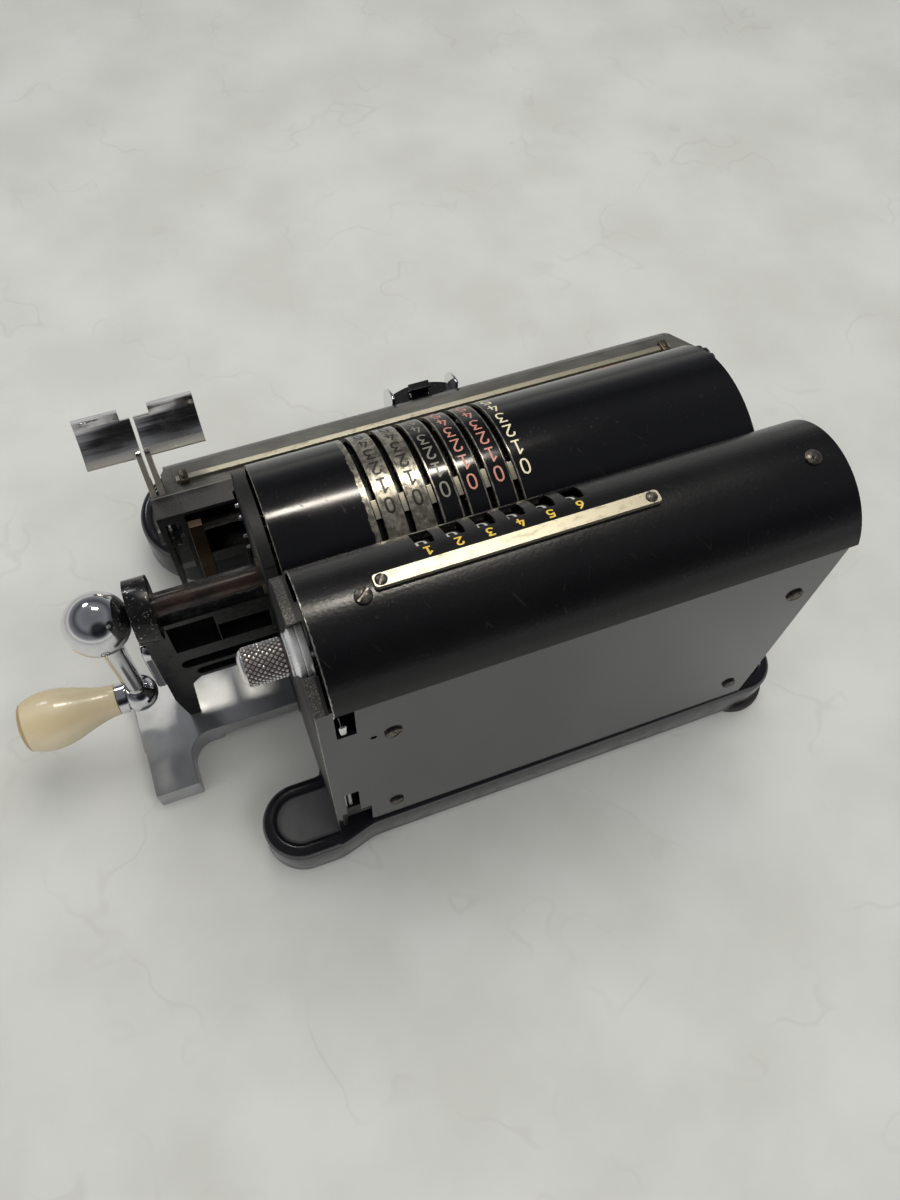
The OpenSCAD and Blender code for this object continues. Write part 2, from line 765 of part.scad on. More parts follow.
// scalloped hand knob that turns on the shaft's left end
module side_knob() {
  scallops = 20;
  x1 = -carriage_half - 1.9;
  outline = [for (i = [0:scallops * 6 - 1])
    at([0, 0], side_knob_r - 0.55 * (1 + cos(60 * i)), i * 60 / scallops)];
  color([0.06, 0.06, 0.06]) difference() {
    along_x(x1 - 7.7, x1) translate(register) polygon(outline);
    bar_x(x1 - 6.7, x1 + 1, register_shaft_r + run_gap, register);
  }
}

// two bright cheeks on the front of the carriage
module shift_handle() {
  cheek = 1.2;
  color([0.8, 0.8, 0.82]) for (side = [-1, 1]) {
    along_x(handle_x + side * 13.65 - cheek / 2, handle_x + side * 13.65 + cheek / 2) difference() {
      translate([-145, deck + 43]) circle(12.5);
      translate(register) circle(front_arc_r + 0.05);
      rect([-145, deck + 20], [-120, deck + 60]);
      rect([register[0] - front_arc_r - 0.05, deck + 20], [-120, register[1] + 0.1]);
    }
  }
}

module finger_plate() {
  color([0.15, 0.15, 0.16]) difference() {
    translate([0, 0, deck + 44]) linear_extrude(1.6) intersection() {
      rect([handle_x - 12.95, -158], [handle_x + 12.95, -148.9]);
      translate([handle_x, -129.8]) circle(27.5);
    }
    translate([handle_x - 4, button_y - 1.6, deck + 40]) cube([8, 3.2, 10]);
  }
}

module release_button() {
  color([0.82, 0.82, 0.84]) {
    translate([handle_x - 3.7, button_y - 1.3, deck + 41]) cube([7.4, 2.6, 8]);
    translate([handle_x - 4.4, button_y - 1.7, deck + 48.9]) cube([8.8, 3.4, 1.2]);
  }
}

// lever plate beside the dials, with a curved pad for the thumb; pad_w is the pad's width
// beside the neck, notch_w the width of the step in its upper edge
module clearing_lever(x, side, pad_w, notch_w) {
  pad_c = register + [0.2, 59.5];
  pad_r = 22;
  pad_t = 1.4;
  neck = 1.5;
  inner = side > 0 ? x : x + lever_t;
  outer = inner + side * (lever_t + neck + pad_w);
  notch = inner + side * notch_w;
  color([0.82, 0.82, 0.84]) difference() {
    union() {
      along_x(x, x + lever_t) {
        translate(register) circle(5);
        polygon([register + [3, 0], register + [-4.4, 21], register + [-8.6, 42], register + [-13, 39.5],
                 register + [-9.6, 20], register + [-3, 0]]);
      }
      along_x(min(inner, outer), max(inner, outer)) ring_part(pad_c, pad_r, pad_r + pad_t, 199, 246);
    }
    along_x(min(inner, notch) - 0.1, max(inner, notch) + 0.05) ring_part(pad_c, pad_r - 1, pad_r + 3, 190, 209);
    bar_x(x - 1, x + 3, register_shaft_r + run_gap, register);
  }
}

place() base_casting();
place() rubber_feet();
place() side_frame_right();
place() side_frame_left();
place() rear_panel();
place() rear_cover();
place() drum_cover();
place() front_apron();
place() casing_screws();
place() label_strip();
place() rotor_bushes();
place() crank_bracket();
place() crank_stop_block();
place() outrigger_plate();
place() carriage_rail();
place() detent_strap();
place() idler_shaft();
place() knob_collar();
place() clearing_knob();
place() check_shaft();
place() crank_hub();
place() crank_arm();
place() handle_ball();
place() rotor_shaft();
place() pinwheel_discs();
place() counting_pins();
place() grip_spindle();
place() handle_grip();
for (k = [1:digits]) {
  place() setting_lever(k);
  place() idler_gear(k);
  place() check_dial(k);
}
place() carriage_cover();
place() carriage_ends();
place() decimal_rail();
place() register_shaft();
place() side_knob();
place() shift_handle();
place() finger_plate();
place() release_button();
place() clearing_lever(lever_x[0], 1, 16, 3.4);  // clearing_lever_result
place() clearing_lever(lever_x[1], -1, 18.5, 5.7);  // clearing_lever_counter
place() result_dials();
place() counter_dials();
place() decimal_marker(marker_x);  // decimal_marker_right
place() decimal_marker(-marker_x);  // decimal_marker_left
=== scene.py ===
import math

import bmesh
import bpy
from mathutils import Matrix, Vector


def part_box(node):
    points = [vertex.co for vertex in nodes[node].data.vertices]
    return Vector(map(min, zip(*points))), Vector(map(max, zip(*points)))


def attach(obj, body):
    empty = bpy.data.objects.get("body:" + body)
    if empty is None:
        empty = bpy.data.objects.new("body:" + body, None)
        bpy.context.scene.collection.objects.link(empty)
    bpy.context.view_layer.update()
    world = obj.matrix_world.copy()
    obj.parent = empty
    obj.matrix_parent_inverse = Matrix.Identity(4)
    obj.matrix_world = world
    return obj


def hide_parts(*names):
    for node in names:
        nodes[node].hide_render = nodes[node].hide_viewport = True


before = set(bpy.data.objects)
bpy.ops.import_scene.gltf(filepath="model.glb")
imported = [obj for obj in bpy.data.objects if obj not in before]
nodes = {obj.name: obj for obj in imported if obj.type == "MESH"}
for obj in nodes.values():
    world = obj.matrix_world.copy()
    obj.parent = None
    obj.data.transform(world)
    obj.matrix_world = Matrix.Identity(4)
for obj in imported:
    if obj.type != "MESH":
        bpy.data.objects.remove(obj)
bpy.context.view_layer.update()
print("frame loaded:", len(nodes), "nodes")

mm = 0.001
panelLow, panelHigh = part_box("rear_panel")
home = Vector(((panelLow.x + panelHigh.x) / 2, panelHigh.y, 0))  # casing's middle, back face, table
deck = panelLow.z / mm
halfCasing = (panelHigh.x - panelLow.x) / 2 / mm

# lines that run along the casing, as (y, z) in the machine's millimetres
rotorAxis = (-74, deck + 72.5)
archAxis = (-22.3, deck + 111)
checkAxis = (-23.6, deck + 112)
registerAxis = (-124, deck + 37)
padAxis = (registerAxis[0] + 0.2, registerAxis[1] + 59.5)
archR, drumR, checkR, registerR = 24.8, 37.2, 20.5, 18.6
slotPitch, digitCount = 9.25, 6
slotX = [slotPitch * (digitCount - k) for k in range(1, digitCount + 1)]
coverEnd = halfCasing - 5  # right end of both covers


def at(x, y, z):
    return home + Vector((x, y, z)) * mm


def onArc(line, radius, degrees):
    turn = math.radians(degrees)
    return line[0] + radius * math.cos(turn), line[1] + radius * math.sin(turn)


# shader maths

class Wire:
    def __init__(self, graph, socket):
        self.graph, self.socket = graph, socket

    def math(self, kind, first, second):
        return self.graph.add("Math", {"operation": kind}, {0: first, 1: second})

    def __add__(self, other):
        return self.math("ADD", self, other)

    def __radd__(self, other):
        return self.math("ADD", other, self)

    def __sub__(self, other):
        return self.math("SUBTRACT", self, other)

    def __rsub__(self, other):
        return self.math("SUBTRACT", other, self)

    def __mul__(self, other):
        return self.math("MULTIPLY", self, other)

    def __rmul__(self, other):
        return self.math("MULTIPLY", other, self)

    def __pow__(self, other):
        return self.math("POWER", self, other)

    def __abs__(self):
        return self.math("ABSOLUTE", self, 0)

    # the larger of two masks
    def __or__(self, other):
        return self.math("MAXIMUM", self, other)


def setStops(ramp, stops):
    ramp.elements[0].position, ramp.elements[0].color = stops[0]
    ramp.elements[-1].position, ramp.elements[-1].color = stops[-1]
    for position, tone in stops[1:-1]:
        ramp.elements.new(position).color = tone


class Graph:
    def __init__(self, tree):
        self.tree = tree
        tree.nodes.clear()

    # makes any node: its type, its settings, then values or links for its sockets
    def add(self, kind, settings, values, out=0):
        node = self.tree.nodes.new("ShaderNode" + kind)
        for key, value in settings.items():
            if key == "stops":
                setStops(node.color_ramp, value)
            else:
                setattr(node, key, value)
        for key, value in values.items():
            if isinstance(value, Wire):
                self.tree.links.new(value.socket, node.inputs[key])
            else:
                node.inputs[key].default_value = value
        return Wire(self, node.outputs[out]) if len(node.outputs) else None

    # bottom at low, top at high; low may be the larger one
    def ramp(self, value, low, high, bottom=0.0, top=1.0):
        return self.add("MapRange", {"interpolation_type": "SMOOTHSTEP"},
                        {0: value, 1: low, 2: high, 3: bottom, 4: top})

    def mix(self, share, first, second):
        return self.add("Mix", {"data_type": "RGBA"}, {0: share, 6: first, 7: second}, 2)


scratchTop = 0.72  # noise above this is a whole scratch


class Finish(Graph):
    def __init__(self, name):
        self.mat = bpy.data.materials.new(name)
        self.mat.use_nodes = True
        super().__init__(self.mat.node_tree)
        self.spots = {}

    # place on the piece in the machine's millimetres
    def place(self):
        if "place" not in self.spots:
            raw = self.add("TexCoord", {}, {}, "Object")
            moved = self.add("VectorMath", {"operation": "SUBTRACT"}, {0: raw, 1: home})
            self.spots["place"] = self.add("VectorMath", {"operation": "SCALE"}, {0: moved, "Scale": 1 / mm})
        return self.spots["place"]

    def axis(self, letter):
        if letter not in self.spots:
            self.spots[letter] = self.add("SeparateXYZ", {}, {0: self.place()}, letter.upper())
        return self.spots[letter]

    # degrees around a line along X, -180 to 180, with 0 towards the back and 90 upwards
    def angle(self, line):
        turn = self.add("Math", {"operation": "ARCTAN2"}, {0: self.axis("z") - line[1], 1: self.axis("y") - line[0]})
        return turn * (180 / math.pi)

    # distance from a line along X
    def away(self, line):
        return ((self.axis("y") - line[0]) ** 2.0 + (self.axis("z") - line[1]) ** 2.0) ** 0.5

    def noiseAt(self, spot, size, detail, rough):
        return self.add("TexNoise", {}, {"Vector": spot, "Scale": 1 / size, "Detail": detail, "Roughness": rough})

    def noise(self, size, detail=2.0, stretch=(1, 1, 1), rough=0.5):
        spot = self.add("VectorMath", {"operation": "MULTIPLY"}, {0: self.place(), 1: stretch})
        return self.noiseAt(spot, size, detail, rough)

    # fine lines: the turn sets their way, thin their width
    def scratches(self, size, stretch, turn, thin):
        spot = self.add("VectorRotate", {"rotation_type": "EULER_XYZ"}, {"Vector": self.place(), "Rotation": turn})
        spot = self.add("VectorMath", {"operation": "MULTIPLY"}, {0: spot, 1: stretch})
        return self.ramp(self.noiseAt(spot, size, 2.0, 0.5), scratchTop - thin, scratchTop)

    # bevel is the radius of the softened edges in mm, bumps a list of (height, depth in mm)
    def close(self, color, rough, metal=0.0, bumps=(), bevel=0.3, ior=1.5):
        sockets = {"Base Color": color, "Roughness": rough, "Metallic": metal, "IOR": ior}
        normal = self.add("Bevel", {"samples": 4}, {"Radius": bevel * mm}) if bevel else None
        for height, depth in bumps:
            under = {"Normal": normal} if normal else {}
            normal = self.add("Bump", {}, {"Height": height, "Distance": depth * mm, "Strength": 1.0, **under})
        if normal:
            sockets["Normal"] = normal
        self.add("OutputMaterial", {}, {"Surface": self.add("BsdfPrincipled", {}, sockets)})
        return self.mat


def gray(level):
    return (level, level, level, 1)


def dim(tone, share):
    return tuple(c * share for c in tone[:3]) + (1,)


print("helpers ready")

# mesh helpers; points are in the machine's millimetres

sharpAngle = 35  # an edge that turns by more degrees than this stays sharp
weldDistance = 0.001 * mm


def piece(name, points, faces, body, finish, stands=(), smooth=True):
    mesh = bpy.data.meshes.new(name)
    mesh.from_pydata([at(*p) for p in points], [], faces)
    mesh.validate()
    work = bmesh.new()
    work.from_mesh(mesh)
    bmesh.ops.remove_doubles(work, verts=work.verts, dist=weldDistance)
    bmesh.ops.recalc_face_normals(work, faces=work.faces)
    work.to_mesh(mesh)
    work.free()
    obj = bpy.data.objects.new(name, mesh)
    bpy.context.scene.collection.objects.link(obj)
    if smooth:
        mesh.shade_smooth()
        mesh.set_sharp_from_angle(angle=math.radians(sharpAngle))
    mesh.materials.append(finish)
    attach(obj, body)
    if stands:
        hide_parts(*stands)
    return obj


# closed rings of as many points each: neighbours are joined by faces, the first and the last are filled
def loft(rings):
    points = [p for ring in rings for p in ring]
    n = len(rings[0])
    faces = []
    for i in range(len(rings) - 1):
        for j in range(n):
            a, b = i * n + j, i * n + (j + 1) % n
            faces.append((a, b, b + n, a + n))
    faces.append(tuple(reversed(range(n))))
    faces.append(tuple(range((len(rings) - 1) * n, len(rings) * n)))
    return points, faces


def join(*shells):
    points, faces = [], []
    for shellPoints, shellFaces in shells:
        shift = len(points)
        points += shellPoints
        faces += [tuple(i + shift for i in face) for face in shellFaces]
    return points, faces


# a turned shape about a line along X through (y, z); profile is a list of (x, radius)
def turned(profile, axis, steps):
    rings = [[(x, axis[0] + r * math.cos(math.tau * j / steps), axis[1] + r * math.sin(math.tau * j / steps))
              for j in range(steps)] for x, r in profile]
    return loft(rings)


# a block with softened edges
def block(low, high, soft):
    work = bmesh.new()
    bmesh.ops.create_cube(work, size=1)
    for v in work.verts:
        v.co = Vector([(low[i] + high[i]) / 2 + v.co[i] * (high[i] - low[i]) for i in range(3)])
    bmesh.ops.bevel(work, geom=work.edges, offset=soft, segments=3, profile=0.5, affect="EDGES")
    work.verts.ensure_lookup_table()
    points = [tuple(v.co) for v in work.verts]
    faces = [tuple(v.index for v in f.verts) for f in work.faces]
    work.free()
    return points, faces


print("mesh helpers ready")

# finishes

enamelSet = {"tone": (0.0035, 0.0035, 0.0042, 1), "scratch": (0.15, gray(0.04)), "grain": 1.15, "cloud": 28,
             "stained": 0.45, "bareRough": (0.22, 0.2)}


# black stove enamel; worn gives a mask of bare metal and the metal's colour
def enamel(name, worn=None, peel=0.012, rough=0.17, haze=0.05, tone=enamelSet["tone"], bevel=0.25, ior=1.45):
    s = enamelSet
    f = Finish(name)
    along = f.scratches(1.1, (0.05, 1, 1), (0.2, 0.5, 0.9), 0.025)
    across = f.scratches(0.9, (1, 0.06, 1), (0.6, 0.1, 0.4), 0.02)
    lines = along | across
    color = f.mix(lines * s["scratch"][0], tone, s["scratch"][1])
    roughness = rough + haze * f.ramp(f.noise(s["cloud"], 3), 0.35, 0.7) + 0.1 * lines
    metal = 0.0
    bumps = [(f.noise(s["grain"], 1.5), peel), (1 - lines, 0.001)]
    if worn:
        metal, bright = worn(f)
        brushed = f.noise(0.9, 3, (1, 6, 6))
        bare = f.mix(f.ramp(f.noise(2.2, 3), 0.35, 0.65), bright, dim(bright, s["stained"]))
        color = f.mix(metal, color, bare)
        smooth, uneven = s["bareRough"]
        roughness = roughness * (1 - metal) + metal * (smooth + uneven * brushed)
        bumps.append((1 - metal, 0.02))
    return f.close(color, roughness, metal, bumps, bevel, ior)


coverWearSet = {"metal": (0.55, 0.53, 0.5, 1), "end": (0.05, 0.35), "seam": 151.5, "seamShare": 0.8}


# bare along the back cover's right end and its front seam
def coverWear(f):
    s = coverWearSet
    ragged = f.noise(1.6, 4)
    end = f.ramp(f.axis("x") + ragged * 0.9, coverEnd + s["end"][0], coverEnd + s["end"][1])
    seam = f.ramp(abs(f.angle(archAxis) - s["seam"]) - ragged * 1.2, 0.2, -0.3) * f.ramp(ragged, 0.42, 0.5)
    return end | seam * s["seamShare"], s["metal"]


drumWearSet = {
    "metal": (0.50, 0.46, 0.38, 1), "end": (0.1, 0.4), "endShare": 0.8,
    # lines beside the slots: half a slot and the line's width in mm, where they end in degrees;
    # how ragged and how bare they are on the right and on the left
    "slot": (slotPitch * 0.125, 0.25), "slotEnd": (150, 140), "slotRagged": (0.75, 0.5), "slotBare": (0.9, 0.55),
    # the patch that thumbs have worn: its left and right edge in mm from slots 3 and 1, its back and front
    # in degrees, how ragged each of the four is, and how bare it is at least
    "left": (0.4, 2.2), "right": (4.4, 4.0), "back": (60, 68), "front": (140, 96), "ragged": (3, 2.4, 14, 26),
    "least": 0.45,
}


def drumWear(f):
    s = drumWearSet
    x, around = f.axis("x"), f.angle(rotorAxis)
    ragged = f.noise(3.2, 5, rough=0.65)
    bare = f.ramp(x + ragged * 0.8, coverEnd + s["end"][0], coverEnd + s["end"][1]) * s["endShare"]
    slotHalf, lineWidth = s["slot"]
    for k, spot in enumerate(slotX):
        uneven, share = s["slotRagged"][k > 3], s["slotBare"][k > 2]
        line = f.ramp(abs(x - spot) - ragged * uneven, slotHalf + lineWidth, slotHalf)
        bare = bare | line * f.ramp(around, *s["slotEnd"]) * share
    leftRagged, rightRagged, backRagged, frontRagged = s["ragged"]
    left = f.ramp(x + ragged * leftRagged, slotX[2] + s["left"][0], slotX[2] + s["left"][1])
    right = f.ramp(x + ragged * rightRagged, slotX[0] + s["right"][0], slotX[0] + s["right"][1])
    turn = f.ramp(around + ragged * backRagged, *s["back"]) * f.ramp(around - ragged * frontRagged, *s["front"])
    patchy = s["least"] + (1 - s["least"]) * f.ramp(f.noise(2.6, 4, (1, 0.6, 0.6), 0.7), 0.36, 0.58)
    return bare | left * right * turn * patchy, s["metal"]


panelWearSet = {"metal": (0.5, 0.49, 0.46, 1), "edge": (0.12, 0.45)}


def panelWear(f):
    near, far = panelWearSet["edge"]
    edge = f.ramp(abs(f.axis("x")) + f.noise(0.9, 4) * 0.9, halfCasing + near, halfCasing + far)
    return edge, panelWearSet["metal"]


castSet = {"tones": ((0.006, 0.006, 0.008, 1), (0.012, 0.012, 0.015, 1)), "hollow": (0.085, 0.085, 0.088, 1),
           # depths under the deck in mm between which an ear's hollow is painted greyer, a painted sheen
           "upper": (0.6, 1.3), "lower": (2.2, 1.9)}


# glossy lacquer on the cast base; the hollows of its ears are rougher and painted a mottled lighter grey as painted
# sheen
def castBlack():
    s = castSet
    f = Finish("cast_black_lacquer")
    z = f.axis("z")
    lines = f.scratches(0.9, (0.06, 1, 1), (0.3, 0.2, 1.1), 0.05)
    upper, lower = ([deck - depth for depth in s[key]] for key in ("upper", "lower"))
    hollow = f.ramp(z, *upper) * f.ramp(z, *lower)
    color = f.mix(f.noise(14, 3), *s["tones"])
    # painted sheen: the ears' hollows are painted a mottled lighter grey
    color = f.mix(hollow * (0.7 + 0.3 * f.noise(5, 3)), color, s["hollow"])
    rough = 0.16 + 0.1 * f.ramp(f.noise(6, 4), 0.4, 0.7) + 0.1 * lines + 0.2 * hollow
    bumps = [(f.noise(1.3, 3), 0.018), (f.noise(9, 2), 0.05), (1 - lines, 0.002)]
    return f.close(color, rough, 0.0, bumps, 0.3, ior=1.36)


bracketSet = {"tones": (gray(0.004), gray(0.009)), "metal": (0.5, 0.47, 0.42, 1), "bareShare": 0.8,
              "collar": ((121.5, 123), (84, 88))}


# satin black of the bracket, with bare speckles on its collar
def bracketBlack():
    s = bracketSet
    f = Finish("bracket_black")
    alongX, upZ = s["collar"]
    bare = f.ramp(f.noise(1.0, 5, rough=0.7), 0.60, 0.64) * f.ramp(f.axis("x"), *alongX) * f.ramp(f.axis("z"), *upZ)
    bare = bare * s["bareShare"]
    color = f.mix(bare, f.mix(f.noise(9, 3), *s["tones"]), s["metal"])
    rough = 0.19 + 0.16 * f.ramp(f.noise(5, 4), 0.4, 0.7)
    return f.close(color, rough, bare, [(f.noise(1.6, 3), 0.02)], 0.3, ior=1.38)


rubberSet = {"clean": (0.035, 0.032, 0.029, 1), "dusty": (0.12, 0.11, 0.095, 1), "dust": (3.4, 1.4)}


# rubber, dusty towards the table
def rubber():
    s = rubberSet
    f = Finish("foot_rubber")
    ragged = f.noise(3, 3)
    color = f.mix(f.ramp(f.axis("z") + ragged * 2.5, *s["dust"]), s["clean"], s["dusty"])
    return f.close(color, 0.62 + 0.15 * ragged, 0.0, [(f.noise(0.5, 3), 0.03)], 0.6)


# milled steel, stained and speckled with the black of its neighbours
def frameSteel(name="frame_steel", dark=0.55, tone=(0.24, 0.23, 0.22, 1), stain=gray(0.02)):
    f = Finish(name)
    speck = f.ramp(f.noise(1.1, 5, rough=0.75), 0.46 + 0.1 * (1 - dark), 0.6)
    grain = f.noise(0.7, 2, (1, 1, 12))
    color = f.mix(speck * dark, tone, stain)
    bumps = [(grain, 0.006), (1 - speck, 0.01)]
    return f.close(color, 0.34 + 0.16 * grain + 0.1 * speck, 1 - speck * dark, bumps, 0.35)


rightFrameSet = {
    "black": gray(0.008), "metal": (0.30, 0.28, 0.24, 1),
    # y from which the rim is bare, how far in from the cover's radius, and the rim's outer face along X
    "from": (-52, -48), "rim": (2.4, 1.6), "face": (81.9, 82.3), "rimShare": (0.1, 0.35),
    "edge": (1.0, 0.5), "edgeShare": 0.85,
}


# black outside and round the drum, bare specks on the rim at the back cover and a thin bright outer edge
def rightFrame():
    s = rightFrameSet
    f = Finish("right_frame")
    x, y, z = f.axis("x"), f.axis("y"), f.axis("z")
    away, speck = f.away(archAxis), f.noise(0.5, 3, rough=0.6)
    behind = f.ramp(y, *s["from"])
    rim = f.ramp(away, archR - s["rim"][0], archR - s["rim"][1]) * behind
    least, more = s["rimShare"]
    bare = rim * (least + more * f.ramp(speck, 0.5, 0.62)) * f.ramp(x, *s["face"])
    upper = f.ramp(z, archAxis[1] - 2, archAxis[1] + 2)
    inward = upper * (archR - away) + (1 - upper) * (0 - y)
    outer = f.ramp(abs(x - halfCasing) + speck * 0.4, 0.5, 0.3)
    bare = bare | outer * f.ramp(inward + speck * 0.6, *s["edge"]) * behind * s["edgeShare"]
    color = f.mix(bare, s["black"], s["metal"])
    return f.close(color, 0.36 + 0.2 * speck, bare, [(1 - bare, 0.01), (speck, 0.01)], 0.45, ior=1.35)


screwTones = {"light": (0.20, 0.185, 0.165, 1), "dark": (0.06, 0.052, 0.046, 1)}


def bluedScrew():
    f = Finish("blued_screw")
    stain = f.noise(1.2, 4, rough=0.7)
    color = f.mix(f.ramp(stain, 0.35, 0.65), screwTones["light"], screwTones["dark"])
    return f.close(color, 0.3 + 0.2 * stain, 0.9, [(stain, 0.02)], 0.2)


# below the hub's height the lever is inside the casing and its colour there is painted shade
leverSet = {"stem": (0.46, 0.43, 0.36, 1), "stemTop": (104, 101), "hub": (0.03, 0.028, 0.025, 1), "hubShadeTop": (82, 81),
            # the painted highlight on a pad's rolled edge: degrees round the pad's middle, and the height above which
            # it is
            "edge": gray(0.85), "edgeTurn": (-158.2, -160), "edgeFrom": (112, 114)}


# on a lever the stem is worn to dull nickel, the hub in the casing is painted dark as painted shade, and the pad has
# long waves and a painted highlight on its rolled edge
def chrome(name="chrome", tone=(0.80, 0.80, 0.82, 1), rough=0.07, haze=0.12, lever=False, metal=1.0):
    f = Finish(name)
    smear = f.ramp(f.noise(7, 4), 0.45, 0.75)
    lines = f.scratches(0.8, (0.07, 1, 1), (0.7, 0.3, 0.2), 0.04)
    color = f.mix(smear * 0.5, tone, dim(tone, 0.82))
    bumps = [(f.noise(9, 2), 0.01), (1 - lines, 0.001)]
    if lever:
        s, z = leverSet, f.axis("z")
        stem, hub = f.ramp(z, *s["stemTop"]), f.ramp(z, *s["hubShadeTop"])
        padHighlight = f.ramp(f.angle(padAxis), *s["edgeTurn"]) * f.ramp(z, *s["edgeFrom"])
        # painted shade darkens the hub inside the casing; a painted highlight lightens the pad's rolled edge
        color = f.mix(hub, f.mix(stem, color, s["stem"]), s["hub"])
        color = f.mix(padHighlight * 0.8, color, s["edge"])
        metal = 1 - 0.5 * stem - 0.4 * padHighlight
        bumps = [(f.noise(2.6, 1.5, (0.04, 1, 1)), 0.3)] + bumps
    return f.close(color, rough + haze * smear + 0.1 * lines, metal, bumps, 0.25)


knurlSet = {"peak": (0.88, 0.86, 0.84, 1), "groove": (0.12, 0.095, 0.085, 1),
            # radius and place along X where the grooves begin to be darker
            "radii": (5.80, 5.52), "end": (98.9, 98.6)}


# the knurl is darker and duller deeper in its grooves; its peaks and the domed end are bright
def knurl():
    s = knurlSet
    f = Finish("knurled_chrome")
    groove = f.ramp(f.away(checkAxis), *s["radii"]) * f.ramp(f.axis("x"), *s["end"])
    color = f.mix(groove, s["peak"], s["groove"])
    return f.close(color, 0.24 + 0.3 * groove + 0.1 * f.noise(2, 3), 1 - 0.3 * groove, bevel=0)


settingSet = {"insideShade": (0.020, 0.018, 0.015, 1), "tip": (0.60, 0.56, 0.44, 1), "tipDepth": (1.5, 1.1)}


# a setting ring is painted dark inside the drum as painted shade; only its tip is bright nickel
def settingNickel():
    s = settingSet
    f = Finish("setting_nickel")
    tip = f.ramp(f.away(rotorAxis), drumR - s["tipDepth"][0], drumR - s["tipDepth"][1])
    # painted shade inside the drum, bright nickel at the tip
    color = f.mix(tip, s["insideShade"], s["tip"])
    return f.close(color, 0.24 + 0.1 * f.noise(3, 3), 0.3 + 0.7 * tip, bevel=0.2)


bakeliteTones = {"dark": gray(0.010), "light": gray(0.022)}


# moulded black resin
def bakelite():
    f = Finish("black_bakelite")
    cloud = f.noise(4, 3)
    color = f.mix(cloud, bakeliteTones["dark"], bakeliteTones["light"])
    rough = 0.28 + 0.2 * f.ramp(cloud, 0.35, 0.7)
    return f.close(color, rough, 0.0, [(f.noise(1.4, 3), 0.01)], 0.3)


platedSet = {"clear": (0.50, 0.51, 0.53, 1), "hazy": (0.38, 0.39, 0.40, 1), "pit": (0.22, 0.19, 0.15, 1)}


# thin plate over cast metal: bright but hazy, with small pits
def platedCasting():
    s = platedSet
    f = Finish("plated_casting")
    haze = f.ramp(f.noise(16, 4), 0.3, 0.75)
    pits = f.ramp(f.noise(0.7, 3), 0.70, 0.76)
    color = f.mix(pits * 0.5, f.mix(haze, s["clear"], s["hazy"]), s["pit"])
    bumps = [(f.noise(14, 1.5), 0.1), (f.noise(2.2, 3), 0.012), (1 - pits, 0.01)]
    return f.close(color, 0.33 + 0.14 * haze + 0.2 * pits, 0.9 - 0.3 * pits, bumps, 0.3)


shaftTones = {"brown": (0.050, 0.030, 0.024, 1), "black": (0.014, 0.011, 0.010, 1)}


def brownShaft():
    f = Finish("shaft_brown")
    dark = f.ramp(f.noise(5, 4, (0.5, 1, 1), 0.6), 0.35, 0.62)
    color = f.mix(dark, shaftTones["brown"], shaftTones["black"])
    return f.close(color, 0.2 + 0.16 * dark, 0.35, [(f.noise(1.2, 3), 0.008)], 0.2)


brassSet = {"scratch": (0.3, 0.26, 0.18, 1), "scratchShare": 0.6, "wornShare": 0.7}


# brass of several shades, with worn blots and scratches
def paleBrass(name, tone, worn, along=(0.08, 1, 1)):
    s = brassSet
    f = Finish(name)
    grain = f.noise(0.5, 3, along, 0.6)
    blot = f.ramp(f.noise(3, 4, (0.5, 1, 1), 0.65), 0.52, 0.7)
    lines = f.scratches(0.7, (0.12, 1, 1), (0.2, 0.9, 0.5), 0.06)
    color = f.mix(blot * s["wornShare"], f.mix(lines * s["scratchShare"], tone, s["scratch"]), worn)
    return f.close(color, 0.3 + 0.12 * grain + 0.15 * blot, 0.85, [(grain, 0.006), (1 - lines, 0.004)], 0.15)


dialTones = {"dark": gray(0.012), "light": gray(0.03)}


def dialBlack():
    f = Finish("dial_black")
    wear = f.noise(2, 3)
    turning = f.noise(0.4, 2, (1, 6, 6))
    color = f.mix(wear, dialTones["dark"], dialTones["light"])
    return f.close(color, 0.36 + 0.12 * wear, 0.0, [(turning, 0.003)], 0.15)


ivorySet = {"light": (0.68, 0.585, 0.40, 1), "grain": (0.60, 0.49, 0.30, 1), "end": (0.40, 0.275, 0.115, 1),
            "endFrom": (183.0, 183.5), "speck": (0.12, 0.07, 0.03, 1)}


# polished ivory: cream, a little darker along its grain and on its end face, with specks and small nicks
def ivory():
    s = ivorySet
    f = Finish("ivory")
    grain = f.noise(11, 2, (0.3, 1, 1))
    speck = f.ramp(f.noise(1.1, 2, (0.6, 1, 1)), 0.76, 0.79)
    color = f.mix(f.ramp(grain, 0.3, 0.75), s["light"], s["grain"])
    color = f.mix(f.ramp(f.axis("x"), *s["endFrom"]), color, s["end"])
    color = f.mix(speck * 0.8, color, s["speck"])
    bumps = [(f.noise(4, 2), 0.03), (1 - speck, 0.04)]
    return f.close(color, 0.16 + 0.12 * grain + 0.2 * speck, 0.0, bumps, 0.3, ior=1.54)


def ink(name, tone, worn=0.35):
    f = Finish(name)
    patch = f.ramp(f.noise(0.7, 4, rough=0.7), 0.62, 0.75)
    return f.close(f.mix(patch * worn, tone, dim(tone, 0.35)), 0.4, 0.0, [(patch, 0.004)], 0)


carriageSet = {"black": gray(0.012), "olive": ((0.085, 0.083, 0.071, 1), (0.05, 0.049, 0.043, 1)),
               # the light tone for the step is a painted highlight: a thin light line where the step's edge catches the
               # light
               "worn": (0.22, 0.21, 0.18, 1), "topFrom": (82.6, 82.9), "topBack": (-126.2, -126.8),
               # the step between the flat top and the band: its y and its half width
               "step": (-126.9, (0.35, 0.1))}
